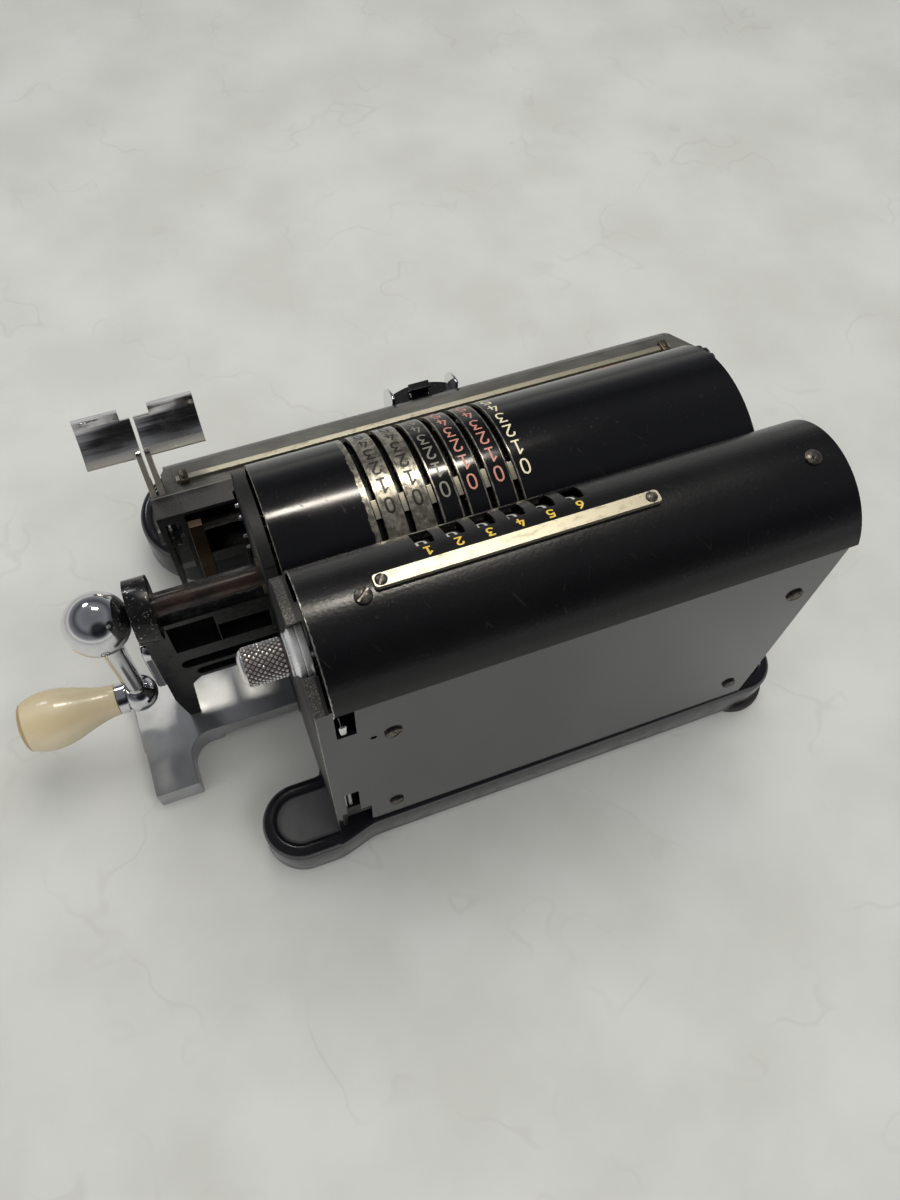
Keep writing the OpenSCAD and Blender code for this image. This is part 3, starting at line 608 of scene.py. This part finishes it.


# grey-green lacquer of the carriage's flat top, black elsewhere; the band behind the top is painted black as painted
# shade of a sloping face
def carriageLacquer():
    s = carriageSet
    f = Finish("carriage_lacquer")
    y, high = f.axis("y"), f.ramp(f.axis("z"), *s["topFrom"])
    worn = f.noise(6, 5, (0.3, 1, 1), 0.65)
    lines = f.scratches(0.8, (0.06, 1, 1), (0.0, 0.1, 0.2), 0.05)
    top = high * f.ramp(y, *s["topBack"])
    # painted shade: the band behind the flat top is black
    color = f.mix(top, s["black"], f.mix(f.ramp(worn, 0.4, 0.65), *s["olive"]))
    step = f.ramp(abs(y - s["step"][0]), *s["step"][1]) * high
    # painted highlight: a thin light line along the step
    color = f.mix(step * 0.7, color, s["worn"])
    rough = 0.22 + 0.14 * top + 0.12 * worn + 0.1 * lines
    bumps = [(f.noise(1.4, 2), 0.012), (1 - lines, 0.003), (1 - step, 0.15)]
    return f.close(color, rough, 0.0, bumps, 0.3)


finishes = {
    "rearCover": enamel("back_cover_enamel", coverWear, 0.042, 0.25, 0.08),
    "drumCover": enamel("drum_cover_enamel", drumWear, 0.004, 0.12),
    "panel": enamel("panel_enamel", panelWear, 0.006, 0.10, 0.05, (0.008, 0.008, 0.010, 1), 0.2, 1.52),
    "enamel": enamel("plain_enamel"),
    "carriage": carriageLacquer(),
    "cast": castBlack(),
    "bracket": bracketBlack(),
    "rubber": rubber(),
    "steel": frameSteel(),
    "cleanSteel": frameSteel("clean_steel", 0.2, (0.5, 0.5, 0.5, 1)),
    "rightFrame": rightFrame(),
    "screw": bluedScrew(),
    "chrome": chrome(),
    "knurl": knurl(),
    "bakelite": bakelite(),
    "leverChrome": chrome("lever_chrome", (0.62, 0.61, 0.60, 1), 0.13, 0.12, True),
    # pale, half-metallic chrome for the knob's bearing: its pale colour is a painted sheen that keeps it bright in its
    # dark notch
    "sheenPaintedChrome": chrome("matt_chrome_painted_sheen", (0.90, 0.90, 0.90, 1), 0.26, 0.12, metal=0.45),
    "nickel": settingNickel(),
    "plated": platedCasting(),
    "shaft": brownShaft(),
    "strip": paleBrass("pale_brass", (0.58, 0.535, 0.41, 1), (0.38, 0.345, 0.25, 1)),
    "rail": paleBrass("rail_brass", (0.36, 0.34, 0.27, 1), (0.22, 0.2, 0.15, 1)),
    "brass": paleBrass("gear_brass", (0.66, 0.52, 0.24, 1), (0.35, 0.26, 0.1, 1), (1, 1, 1)),
    "strap": paleBrass("strap_bronze", (0.11, 0.075, 0.05, 1), (0.06, 0.04, 0.028, 1)),
    "darkBrass": paleBrass("marker_brass", (0.10, 0.085, 0.06, 1), (0.03, 0.025, 0.02, 1)),
    "dial": dialBlack(),
    "ivory": ivory(),
}
print("finishes made:", len(finishes))

# CAD nodes keep their shape and take these finishes

dress = {
    "base_casting": "cast", "rubber_feet": "rubber", "side_frame_right": "rightFrame", "side_frame_left": "enamel",
    "rear_panel": "panel", "rear_cover": "rearCover", "drum_cover": "drumCover", "front_apron": "enamel",
    "casing_screws": "screw", "side_knob": "bakelite", "label_strip": "strip", "rotor_bushes": "darkBrass",
    "crank_bracket": "bracket", "crank_stop_block": "chrome", "outrigger_plate": "plated", "carriage_rail": "steel",
    "detent_strap": "strap", "idler_shaft": "cleanSteel", "knob_collar": "chrome", "clearing_knob": "knurl",
    "check_shaft": "cleanSteel", "crank_hub": "chrome", "crank_arm": "chrome", "handle_ball": "chrome",
    "rotor_shaft": "shaft", "pinwheel_discs": "steel", "counting_pins": "cleanSteel", "grip_spindle": "cleanSteel",
    "handle_grip": "ivory", "carriage_cover": "carriage", "carriage_ends": "carriage", "decimal_rail": "rail",
    "register_shaft": "steel", "shift_handle": "chrome", "finger_plate": "enamel", "release_button": "enamel",
    "clearing_lever_result": "leverChrome", "clearing_lever_counter": "leverChrome", "result_dials": "dial",
    "counter_dials": "dial", "decimal_marker_right": "darkBrass", "decimal_marker_left": "darkBrass",
}
for k in range(1, digitCount + 1):
    dress.update({f"setting_lever_{k}": "nickel", f"idler_gear_{k}": "brass", f"check_dial_{k}": "dial"})
for name, kind in dress.items():
    nodes[name].data.materials.clear()
    nodes[name].data.materials.append(finishes[kind])
print("CAD nodes dressed")

# pieces rebuilt with finer shapes than their solids

# knurled knob on the check dials' shaft
knobSet = {"start": 86.8, "length": 12.2, "radius": 5.9, "depth": 0.6, "starts": 21, "pitch": 1.95, "steep": 1.9,
           "dome": 1.6, "root": 5.2, "domeFoot": 5.3, "rows": 60, "fadeRows": 4, "domeRows": 8}


def makeKnob():
    s = knobSet
    around, rows = s["starts"] * 8, s["rows"]
    rings = [[(s["start"], *onArc(checkAxis, s["root"], 360 * j / around)) for j in range(around)]]
    for i in range(rows + 1):
        x = s["start"] + s["length"] * i / rows
        fade = min(1, min(i, rows - i) / s["fadeRows"])
        ring = []
        for j in range(around):
            turn = s["starts"] * j / around
            # two threads of opposite hand leave diamonds between them
            peaks = [1 - abs(2 * ((turn + way * (x - s["start"]) / s["pitch"]) % 1) - 1) for way in (1, -1)]
            height = min(1, s["steep"] * min(peaks)) * fade
            ring.append((x, *onArc(checkAxis, s["radius"] - s["depth"] * (1 - height), 360 * j / around)))
        rings.append(ring)
    for i in range(s["domeRows"] + 1):
        t = math.radians(90 * i / s["domeRows"])
        x, r = s["start"] + s["length"] + s["dome"] * math.sin(t), s["domeFoot"] * math.cos(t) + 0.01
        rings.append([(x, *onArc(checkAxis, r, 360 * j / around)) for j in range(around)])
    return loft(rings)


piece("knurled_knob", *makeKnob(), "knob", finishes["knurl"], ["clearing_knob"])

# bearing of the knob: a flange, a waist and a bell
bearingProfile = [(80.3, 3.1), (80.3, 8.1), (80.45, 8.4), (80.75, 8.5), (82.2, 8.5), (82.45, 8.4), (82.55, 8.1),
                  (82.6, 7.2), (82.75, 7.2), (82.8, 7.55), (83.0, 7.72), (84.2, 7.75), (84.6, 7.55), (84.95, 7.0),
                  (85.3, 6.5), (85.7, 6.35), (86.0, 6.5), (86.3, 6.55), (86.45, 6.35), (86.5, 6.0), (86.5, 3.1)]
# the bearing's pale half-metallic finish is a painted sheen
piece("knob_bearing", *turned(bearingProfile, checkAxis, 72), "casing", finishes["sheenPaintedChrome"], ["knob_collar"])

# scalloped knob on the left end of the register shaft
sideKnobSet = {
    "start": -124.7, "radius": 16.7, "scallops": 20, "dip": 1.1, "finest": 8,
    # distance from the start, how far in from the radius, and the scallops' share of their depth there
    "profile": [(0, 4.5, 0), (0.05, 3.2, 0.3), (0.5, 1.2, 0.8), (1.3, 0.25, 1), (2.4, 0, 1), (5.6, 0, 1), (6.6, 0.3, 1),
                (7.3, 1.2, 0.8), (7.7, 3.0, 0.3), (7.7, 12.5, 0)],
}


def makeSideKnob():
    s = sideKnobSet
    steps = s["scallops"] * s["finest"]
    dips = [s["dip"] * (0.5 + 0.5 * math.cos(math.tau * j / s["finest"])) for j in range(steps)]
    rings = []
    for x, cut, share in s["profile"]:
        radii = [s["radius"] - cut - share * dip for dip in dips]
        rings.append([(s["start"] + x, *onArc(registerAxis, r, 360 * j / steps)) for j, r in enumerate(radii)])
    return loft(rings)


piece("scalloped_knob", *makeSideKnob(), "side_knob", finishes["bakelite"], ["side_knob"])

# cast base: one outline with rounded shoulders, and hollow tops in its four ears
baseSet = {
    "bottom": 5, "shoulder": 3.0, "plain": 0.9, "rim": 4.0, "corner": 3.0, "back": 1, "front": -172, "notch": 60,
    # the lower edge: distance in and height
    "lower": [(0.7, 0), (0.2, 0.3), (0, 1)],
    # an ear's hollow: distance in from its edge and depth
    "slope": [(0, 0), (0.35, 0.04), (0.8, 0.22), (1.25, 0.56), (1.7, 0.95), (2.2, 1.3), (2.9, 1.52), (3.7, 1.6)],
}
# ears: x, y and radius; the two front ones are alike
earRight, earLeft, lobe = (97.5, -9.7, 14.7), (-91.8, -12.5, 13.5), (100, -158, 25.8)


def sweepArc(x, y, r, start, end, step=5):
    n = max(2, round(abs(end - start) / step))
    turns = [math.radians(start + (end - start) * i / n) for i in range(n + 1)]
    return [(x + r * math.cos(t), y + r * math.sin(t)) for t in turns]


# cuts each corner of a path that turns by more than least degrees short with a small curve
def softPath(points, reach, least=12):
    soft = []
    for i, corner in enumerate(points):
        before, after = Vector(points[i - 1]), Vector(points[(i + 1) % len(points)])
        corner = Vector(corner)
        turn = (corner - before).angle(after - corner) if (corner - before).length and (after - corner).length else 0
        if turn < math.radians(least):
            soft.append(tuple(corner))
            continue
        near = min(reach, (corner - before).length * 0.45, (after - corner).length * 0.45)
        a, b = corner + (before - corner).normalized() * near, corner + (after - corner).normalized() * near
        soft += [tuple(a.lerp(corner, t).lerp(corner.lerp(b, t), t)) for t in (0, 0.2, 0.4, 0.6, 0.8, 1)]
    return soft


def baseOutline():
    (rx, ry, rr), (lx, ly, lr), (fx, fy, fr) = earRight, earLeft, lobe
    back, front, side, notch = baseSet["back"], baseSet["front"], halfCasing, baseSet["notch"]
    path = [(side, ry - rr)] + sweepArc(rx, ry, rr, -90, 90) + [(86, ry + rr), (72, back)]
    path += sweepArc(lx, ly, lr, 90, 270) + [(-side, ly - lr), (-side, fy + fr)]
    path += sweepArc(-fx, fy, fr, 90, 270) + [(-notch, fy - fr), (-notch, front), (notch, front), (notch, fy - fr)]
    path += sweepArc(fx, fy, fr, -90, 90) + [(side, fy + fr)]
    return softPath(path, baseSet["corner"])


# moves every point of a loop to its left by its own distance
def inset(loop, distances):
    moved = []
    for i, p in enumerate(loop):
        p, before, after = Vector(p), Vector(loop[i - 1]), Vector(loop[(i + 1) % len(loop)])
        first, second = (p - before).normalized(), (after - p).normalized()
        left = Vector((-first.y - second.y, first.x + second.x)) / (1 + first.dot(second))
        moved.append(tuple(p + left * distances[i]))
    return moved


def makeBase():
    s = baseSet
    outline = baseOutline()
    ears = [abs(x) > halfCasing + 0.5 or y < s["front"] - 1 for x, y in outline]
    shoulders = [s["shoulder"] if ear else s["plain"] for ear in ears]
    work = bmesh.new()

    def ring(loop, z):
        return [work.verts.new((x, y, z)) for x, y in loop]

    def skin(lower, upper):
        for i in range(len(lower)):
            j = (i + 1) % len(lower)
            work.faces.new((lower[i], lower[j], upper[j], upper[i]))

    def rimEdges(verts):
        pairs = zip(verts, verts[1:] + verts[:1])
        return [work.edges.get(pair) or work.edges.new(pair) for pair in pairs]

    n = len(outline)
    rings = [ring(inset(outline, [cut] * n), s["bottom"] + up) for cut, up in s["lower"]]
    for turn in range(0, 91, 15):
        t = math.radians(turn)
        loop = inset(outline, [r * (1 - math.cos(t)) for r in shoulders])
        rings.append([work.verts.new((x, y, deck - r * (1 - math.sin(t)))) for (x, y), r in zip(loop, shoulders)])
    for lower, upper in zip(rings, rings[1:]):
        skin(lower, upper)
    bmesh.ops.triangle_fill(work, edges=rimEdges(rings[0]), use_beauty=True)
    top = rimEdges(rings[-1])
    (rx, ry, rr), (lx, ly, lr), (fx, fy, fr) = earRight, earLeft, lobe
    rr, lr, fr = rr - s["rim"], lr - s["rim"], fr - s["rim"]
    wall = halfCasing + 0.02
    hollows = [[(wall, ry - rr)] + sweepArc(rx, ry, rr, -90, 90) + [(wall, ry + rr)],
               sweepArc(lx, ly, lr, 90, 270) + [(-wall, ly - lr), (-wall, ly + lr)],
               sweepArc(fx, fy, fr, 0, 360)[:-1], sweepArc(-fx, fy, fr, 0, 360)[:-1]]
    for loop in hollows:
        stack = []
        for away, drop in s["slope"]:
            moved = inset(loop, [away] * len(loop))
            # the casing's side closes an ear's hollow with an upright wall
            moved = [(p[0] if abs(abs(p[0]) - wall) < 0.001 else q[0], q[1]) for p, q in zip(loop, moved)]
            stack.append(ring(moved, deck - drop))
        for upper, lower in zip(stack, stack[1:]):
            skin(upper, lower)
        top += rimEdges(stack[0])
        bmesh.ops.triangle_fill(work, edges=rimEdges(stack[-1]), use_beauty=True)
    bmesh.ops.triangle_fill(work, edges=top, use_beauty=True)
    work.verts.index_update()
    points = [tuple(v.co) for v in work.verts]
    faces = [tuple(v.index for v in f.verts) for f in work.faces]
    work.free()
    return points, faces


piece("cast_base", *makeBase(), "casing", finishes["cast"], ["base_casting"])

# four turned rubber feet
footSet = {
    "spots": [(98.3, -11), (-93.5, -11.9), (lobe[0], lobe[1]), (-lobe[0], lobe[1])],
    # height and radius
    "profile": [(0, 10), (0, 12.9), (0.3, 13.6), (1.0, 14.1), (2.0, 14.3), (3.6, 14.3), (4.4, 14.15), (5.0, 13.7)],
    "steps": 64,
}
feet = []
for x, y in footSet["spots"]:
    turns = [math.tau * j / footSet["steps"] for j in range(footSet["steps"])]
    rings = [[(x + r * math.cos(t), y + r * math.sin(t), z) for t in turns] for z, r in footSet["profile"]]
    feet.append(loft(rings))
piece("turned_feet", *join(*feet), "casing", finishes["rubber"], ["rubber_feet"])

# markers: low saddles on the decimal rail
saddleSet = {
    "spot": 101,
    # each block's half width, its y and z from and to, and how soft its edges are
    "blocks": [(1.6, (-134.8, -133.3), (83.4, 84.9), 0.35), (1.6, (-130.7, -129.2), (83.4, 84.9), 0.35),
               (1.6, (-134.8, -129.2), (84.7, 85.7), 0.4), (0.8, (-133.2, -130.8), (85.5, 86.1), 0.3)],
}
for side, x in (("right", saddleSet["spot"]), ("left", -saddleSet["spot"])):
    saddle = [block((x - half, y[0], z[0]), (x + half, y[1], z[1]), soft) for half, y, z, soft in saddleSet["blocks"]]
    piece(f"marker_saddle_{side}", *join(*saddle), f"marker_{side}", finishes["darkBrass"], [f"decimal_marker_{side}"])

# end of the cross pin in the crank's big ball
pinSet = {
    "way": (-0.035, 0.99, -0.139), "ball": 141.3, "steps": 24,
    # distance from the ball's middle and radius
    "profile": [(10.6, 1.6), (11.16, 1.6), (11.2, 1.45), (11.1, 1.3), (11.02, 1.15), (11.12, 0.9), (11.2, 0.5),
                (11.22, 0.02)],
}


def makePin():
    way = Vector(pinSet["way"]).normalized()
    side = way.orthogonal().normalized()
    up = way.cross(side)
    middle = Vector((pinSet["ball"], *rotorAxis))
    turns = [math.tau * j / pinSet["steps"] for j in range(pinSet["steps"])]
    rings = [[tuple(middle + way * out + (side * math.cos(t) + up * math.sin(t)) * r) for t in turns]
             for out, r in pinSet["profile"]]
    return loft(rings)


piece("hub_pin", *makePin(), "crank", finishes["screw"])

# small bright pieces behind the back panel's openings: low corner, high corner, how soft
latchSet = {
    "hook": [((76.6, -4.6, 124.3), (79.1, 0.25, 130.0), 0.7), ((76.6, -5.4, 124.3), (81.4, -3.8, 130.0), 0.3)],
    "plates": [((78.2, -6.4, 40), (79.7, -2.4, 65.2), 0.35), ((80.2, -6.4, 40), (81.3, -2.0, 64.6), 0.3)],
}
for name, kind in (("hook", "chrome"), ("plates", "cleanSteel")):
    piece(f"latch_{name}", *join(*[block(*values) for values in latchSet[name]]), "casing", finishes[kind])

# pins in the right frame, in front of the drum cover
frontPinSet = {"profile": [(84.5, 0.9), (85.9, 0.9), (86.3, 0.65), (86.4, 0.2)],
               "y": -111, "heights": (87.5, 79.3, 66.9, 58.9)}
pins = [turned(frontPinSet["profile"], (frontPinSet["y"], z), 20) for z in frontPinSet["heights"]]
piece("front_pins", *join(*pins), "casing", finishes["chrome"])


# the edges of boxy solids are rounded where they stand
def soften(name, width, steps=3, flat=1.5, sharp=32):
    node = nodes[name]
    node.modifiers.new("weld", "WELD").merge_threshold = 0.002 * mm
    merged = node.modifiers.new("merge flat faces", "DECIMATE")
    merged.decimate_type, merged.angle_limit = "DISSOLVE", math.radians(flat)
    soft = node.modifiers.new("soften", "BEVEL")
    soft.width, soft.segments = width * mm, steps
    soft.limit_method, soft.angle_limit = "ANGLE", math.radians(sharp)
    soft.harden_normals = True


# width of each one's rounding in mm
softEdges = {
    "outrigger_plate": 1.3, "crank_stop_block": 0.9, "crank_bracket": 0.8, "carriage_ends": 0.5, "detent_strap": 0.3,
    "shift_handle": 0.35, "finger_plate": 0.4, "release_button": 0.5, "clearing_lever_result": 0.45,
    "clearing_lever_counter": 0.45, "label_strip": 0.25, "decimal_rail": 0.25, "casing_screws": 0.2,
}
for name, width in softEdges.items():
    soften(name, width)
print("pieces built")

# numerals: each is a list of strokes in a box 1 wide and 1.6 high

strokes = {
    "mark": [[(0, 0.8), (1, 0.8)]],
    "0": [[(0.5, 1.6), (0.16, 1.45), (0.08, 0.8), (0.16, 0.15), (0.5, 0), (0.84, 0.15), (0.92, 0.8), (0.84, 1.45),
           (0.5, 1.6)]],
    "1": [[(0.1, 1.2), (0.52, 1.6)], [(0.52, 1.6), (0.52, 0)], [(0.14, 0), (0.9, 0)]],
    "2": [[(0.08, 1.2), (0.14, 1.5), (0.5, 1.6), (0.86, 1.5), (0.9, 1.1), (0.62, 0.72), (0.08, 0)],
          [(0.08, 0), (0.94, 0)]],
    "3": [[(0.1, 1.6), (0.9, 1.6), (0.45, 0.98)],
          [(0.45, 0.98), (0.8, 0.95), (0.94, 0.5), (0.8, 0.08), (0.4, 0), (0.08, 0.2)]],
    "4": [[(0.42, 1.6), (0.06, 0.5), (0.96, 0.5)], [(0.68, 1.05), (0.68, 0)]],
    "5": [[(0.88, 1.6), (0.2, 1.6), (0.14, 0.9)],
          [(0.14, 0.9), (0.5, 1.06), (0.84, 0.95), (0.94, 0.5), (0.8, 0.08), (0.4, 0), (0.08, 0.2)]],
    "6": [[(0.78, 1.6), (0.3, 1.1), (0.08, 0.5), (0.2, 0.06), (0.5, 0), (0.82, 0.08), (0.92, 0.45), (0.8, 0.85),
           (0.5, 0.95), (0.16, 0.75)]],
    "7": [[(0.06, 1.6), (0.94, 1.6), (0.36, 0)]],
    "8": [[(0.5, 1.6), (0.2, 1.52), (0.16, 1.15), (0.5, 0.86), (0.88, 0.5), (0.82, 0.08), (0.5, 0), (0.18, 0.08),
           (0.12, 0.5), (0.5, 0.86), (0.84, 1.15), (0.8, 1.52), (0.5, 1.6)]],
    "9": [[(0.22, 0), (0.7, 0.5), (0.92, 1.1), (0.8, 1.54), (0.5, 1.6), (0.18, 1.52), (0.08, 1.15), (0.2, 0.75),
           (0.5, 0.65), (0.84, 0.85)]],
}


# a stroke of more than three points with its corners cut twice, in steps no longer than finest
def softened(line, finest=0.13):
    for _ in range(2 if len(line) > 3 else 0):
        finer = [line[0]]
        for a, b in zip(line, line[1:]):
            finer += [(a[0] * 0.75 + b[0] * 0.25, a[1] * 0.75 + b[1] * 0.25),
                      (a[0] * 0.25 + b[0] * 0.75, a[1] * 0.25 + b[1] * 0.75)]
        line = finer + [line[-1]]
    path = [line[0]]
    for a, b in zip(line, line[1:]):
        n = max(1, math.ceil(math.dist(a, b) / finest))
        path += [(a[0] + (b[0] - a[0]) * i / n, a[1] + (b[1] - a[1]) * i / n) for i in range(1, n + 1)]
    return path


# one numeral lying on a cylinder: its middle at x and degrees, its top towards the back;
# a stroke's ends reach out by a share of its width
def numeral(sign, axis, radius, x, degrees, width, height, stroke, rise=0.03, reach=0.4):
    points, faces = [], []
    for line in strokes[sign]:
        spots = [((u - 0.5) * width, (v / 1.6 - 0.5) * height) for u, v in softened(line)]
        for i, (u, v) in enumerate(spots):
            a, b = spots[max(i - 1, 0)], spots[min(i + 1, len(spots) - 1)]
            du, dv = b[0] - a[0], b[1] - a[1]
            size = math.hypot(du, dv) or 1
            if i in (0, len(spots) - 1):
                way = 1 if i else -1
                u, v = u + (du / size) * stroke * reach * way, v + (dv / size) * stroke * reach * way
            side = (-dv / size * stroke / 2, du / size * stroke / 2)
            for half in (1, -1):
                for lift in (0, rise):
                    turn = degrees - math.degrees((v + half * side[1]) / radius)
                    points.append((x + u + half * side[0], *onArc(axis, radius + lift, turn)))
        first = len(points) - 4 * len(spots)
        for i in range(len(spots) - 1):
            a = first + 4 * i
            faces += [(a + 1, a + 5, a + 7, a + 3), (a, a + 4, a + 5, a + 1), (a + 2, a + 3, a + 7, a + 6),
                      (a, a + 2, a + 6, a + 4)]
        end = first + 4 * (len(spots) - 1)
        faces += [(first, first + 1, first + 3, first + 2), (end, end + 2, end + 3, end + 1)]
    return points, faces


# size is the figures' width, height and stroke in mm, zero and step place them in degrees, beside sets them off a slot
figureSet = {
    "drum": {"size": (3.1, 5.0, 0.62), "zero": 75, "step": 11, "beside": 4.6, "engraved": 1.15},
    "window": {"size": (2.1, 3.1, 0.58), "zero": 109.6, "step": 0, "beside": 4.6},
    "check": {"size": (3.2, 5.0, 0.85), "zero": 131, "step": -36, "beside": 4.95},
    "register": {"size": (2.6, 4.4, 0.55), "zero": 150, "step": -36, "beside": 4.95},
}
indexSet = {"x": -55.5, "degrees": 140.5, "size": (9.5, 1.6, 2.0)}
inks = {
    "engraved": ink("engraved_dark", (0.008, 0.006, 0.005, 1), 0.1),
    "whitish": ink("whitish_ink", (0.20, 0.185, 0.145, 1), 0.8),
    "salmon": ink("salmon_ink", (0.56, 0.23, 0.17, 1), 0.45),
    "cream": ink("cream_ink", (0.80, 0.72, 0.48, 1), 0.15),
    "yellow": ink("yellow_ink", (0.80, 0.55, 0.07, 1), 0.1),
    "dialWhite": ink("dial_white", (0.72, 0.70, 0.62, 1), 0.2),
    "indexRed": ink("index_red", (0.55, 0.07, 0.04, 1), 0.2),
}
columnInk = ["engraved", "engraved", "whitish", "salmon", "salmon", "cream"]


# one sign of a row beside the slot or dial at spot
def sign(row, text, axis, radius, spot, digit=0, bolder=1):
    s = figureSet[row]
    width, height, stroke = s["size"]
    degrees = s["zero"] + s["step"] * digit
    return numeral(text, axis, radius, spot - s["beside"], degrees, width, height, stroke * bolder)


def digits(row, axis, radius, spot, bolder=1):
    return [sign(row, str(d), axis, radius, spot, d, bolder) for d in range(10)]


def lettering(name, signs, body, kind):
    piece(name, *join(*signs), body, inks[kind], smooth=False)


for k, (spot, kind) in enumerate(zip(slotX, columnInk), 1):
    bolder = figureSet["drum"]["engraved"] if kind == "engraved" else 1
    lettering(f"drum_numerals_{k}", digits("drum", rotorAxis, drumR, spot, bolder), "casing", kind)
labels = [sign("window", str(k), archAxis, archR, spot) for k, spot in enumerate(slotX, 1)]
lettering("window_numbers", labels, "casing", "yellow")
mark = numeral("mark", rotorAxis, drumR, indexSet["x"], indexSet["degrees"], *indexSet["size"])
lettering("red_index", [mark], "casing", "indexRed")
for k, spot in enumerate(slotX, 1):
    lettering(f"check_numerals_{k}", digits("check", checkAxis, checkR, spot), f"check_{k}", "dialWhite")
registers = {"result": [slotX[0] + slotPitch * (4 - k) for k in range(10)],
             "counter": [-slotPitch * (k + 3) for k in range(6)]}
for name, row in registers.items():
    signs = [shape for spot in row for shape in digits("register", registerAxis, registerR, spot)]
    lettering(f"{name}_numerals", signs, f"{name}_register", "dialWhite")
print("numerals done")

# camera

camSet = {
    "spot": (93.3, 97.6, deck + 367.6),
    "right": (-0.936, 0.351, 0.040),
    "up": (-0.293, -0.835, 0.465),
    "lens": 29.4,
    "sensor": 36,
    "clip": (0.01, 20),
}


def makeCamera():
    data = bpy.data.cameras.new("camera")
    data.lens = camSet["lens"]
    data.sensor_width = camSet["sensor"]
    data.clip_start, data.clip_end = camSet["clip"]
    cam = bpy.data.objects.new("camera", data)
    bpy.context.scene.collection.objects.link(cam)
    right = Vector(camSet["right"]).normalized()
    back = right.cross(Vector(camSet["up"])).normalized()
    up = back.cross(right)
    turn = Matrix((right, up, back)).transposed().to_4x4()
    cam.matrix_world = Matrix.Translation(at(*camSet["spot"])) @ turn
    bpy.context.scene.camera = cam


makeCamera()

# light, floor and room

lightSet = {
    # place in mm, size in mm, watts, colour, whether it shows in shiny surfaces, whether it lights plain ones
    "warm": ((-110, -520, 1050), (300, 90), 4.0, (1, 0.94, 0.82), True, False),
    "window": ((420, -1150, 1050), (300, 160), 2.2, (0.95, 0.98, 1), True, False),
    "top": ((-160, -260, 1100), (620, 520), 4.2, (1, 0.99, 0.97), False, True),
    "rear": ((-230, 520, 1050), (420, 260), 2.0, (1, 1, 1), False, True),
    "side": ((1100, 200, 700), (350, 500), 1.2, (1, 1, 1), False, True),
}

lightsAim = (0, -60, 60)


def makeLight(name, spot, size, watts, tone, shows, lights):
    data = bpy.data.lights.new(name, "AREA")
    data.shape = "RECTANGLE"
    data.size, data.size_y = size[0] * mm, size[1] * mm
    data.energy = watts
    data.color = tone
    lamp = bpy.data.objects.new(name, data)
    bpy.context.scene.collection.objects.link(lamp)
    lamp.visible_glossy, lamp.visible_diffuse = shows, lights
    lamp.location = at(*spot)
    lamp.rotation_euler = (at(*lightsAim) - lamp.location).to_track_quat("-Z", "Y").to_euler()


for name, values in lightSet.items():
    makeLight(name, *values)


roomSet = {
    # the flat backdrop behind the floor, and the even light on plain surfaces
    "behind": (0.72, 0.72, 0.70, 1),
    "plain": (0.54, 0.54, 0.53, 1),
    # the room that shiny surfaces mirror: height of a direction, 1 being straight up, and its colour
    "walls": [(0.03, (0.60, 0.60, 0.58, 1)), (0.2, (0.20, 0.205, 0.22, 1)), (0.5, (0.06, 0.063, 0.072, 1)),
              (0.72, (0.18, 0.186, 0.20, 1)), (0.97, (0.14, 0.145, 0.157, 1))],
    # a darker place in it: direction, where its dark ends and the room begins, and how much light is left
    "dark": ((-0.15, 0.78, 0.60), (0.34, 0.62), 0.12),
}


def makeWorld():
    world = bpy.data.worlds.new("room")
    bpy.context.scene.world = world
    world.use_nodes = True
    g = Graph(world.node_tree)
    way = g.add("TexCoord", {}, {}, "Generated")
    rays = ("Camera", "Glossy", "Transmission")
    camera, glossy, through = (g.add("LightPath", {}, {}, f"Is {ray} Ray") for ray in rays)
    walls = g.add("ValToRGB", {"stops": roomSet["walls"]}, {0: g.add("SeparateXYZ", {}, {0: way}, "Z")})
    middle, edge, least = roomSet["dark"]
    away = g.add("VectorMath", {"operation": "DISTANCE"}, {0: way, 1: middle}, "Value")
    room = g.add("VectorMath", {"operation": "SCALE"}, {0: walls, "Scale": g.ramp(away, *edge, least)})
    seen = g.mix(camera | through, g.mix(glossy, roomSet["plain"], room), roomSet["behind"])
    g.add("OutputWorld", {}, {0: g.add("Background", {}, {0: seen})})


makeWorld()


floorSet = {"size": 4, "tones": ((0.60, 0.60, 0.565, 1), (0.68, 0.68, 0.655, 1)), "vein": (0.2, (0.42, 0.40, 0.36, 1))}


# a pale stone top with soft clouds and a few thin veins
def floorFinish():
    f = Finish("table_top")
    vein = f.ramp(abs(f.noise(90, 3, rough=0.6) - 0.5), 0.012, 0.0) * f.ramp(f.noise(50, 2), 0.45, 0.65)
    color = f.mix(f.ramp(f.noise(60, 4), 0.3, 0.7), *floorSet["tones"])
    share, tone = floorSet["vein"]
    return f.close(f.mix(vein * share, color, tone), 0.45, bevel=0)


bpy.ops.mesh.primitive_plane_add(size=floorSet["size"])
floor = bpy.context.object
floor.name = "floor"
floor.data.materials.append(floorFinish())

bpy.context.scene.view_settings.view_transform = "Standard"
print("scene ready")
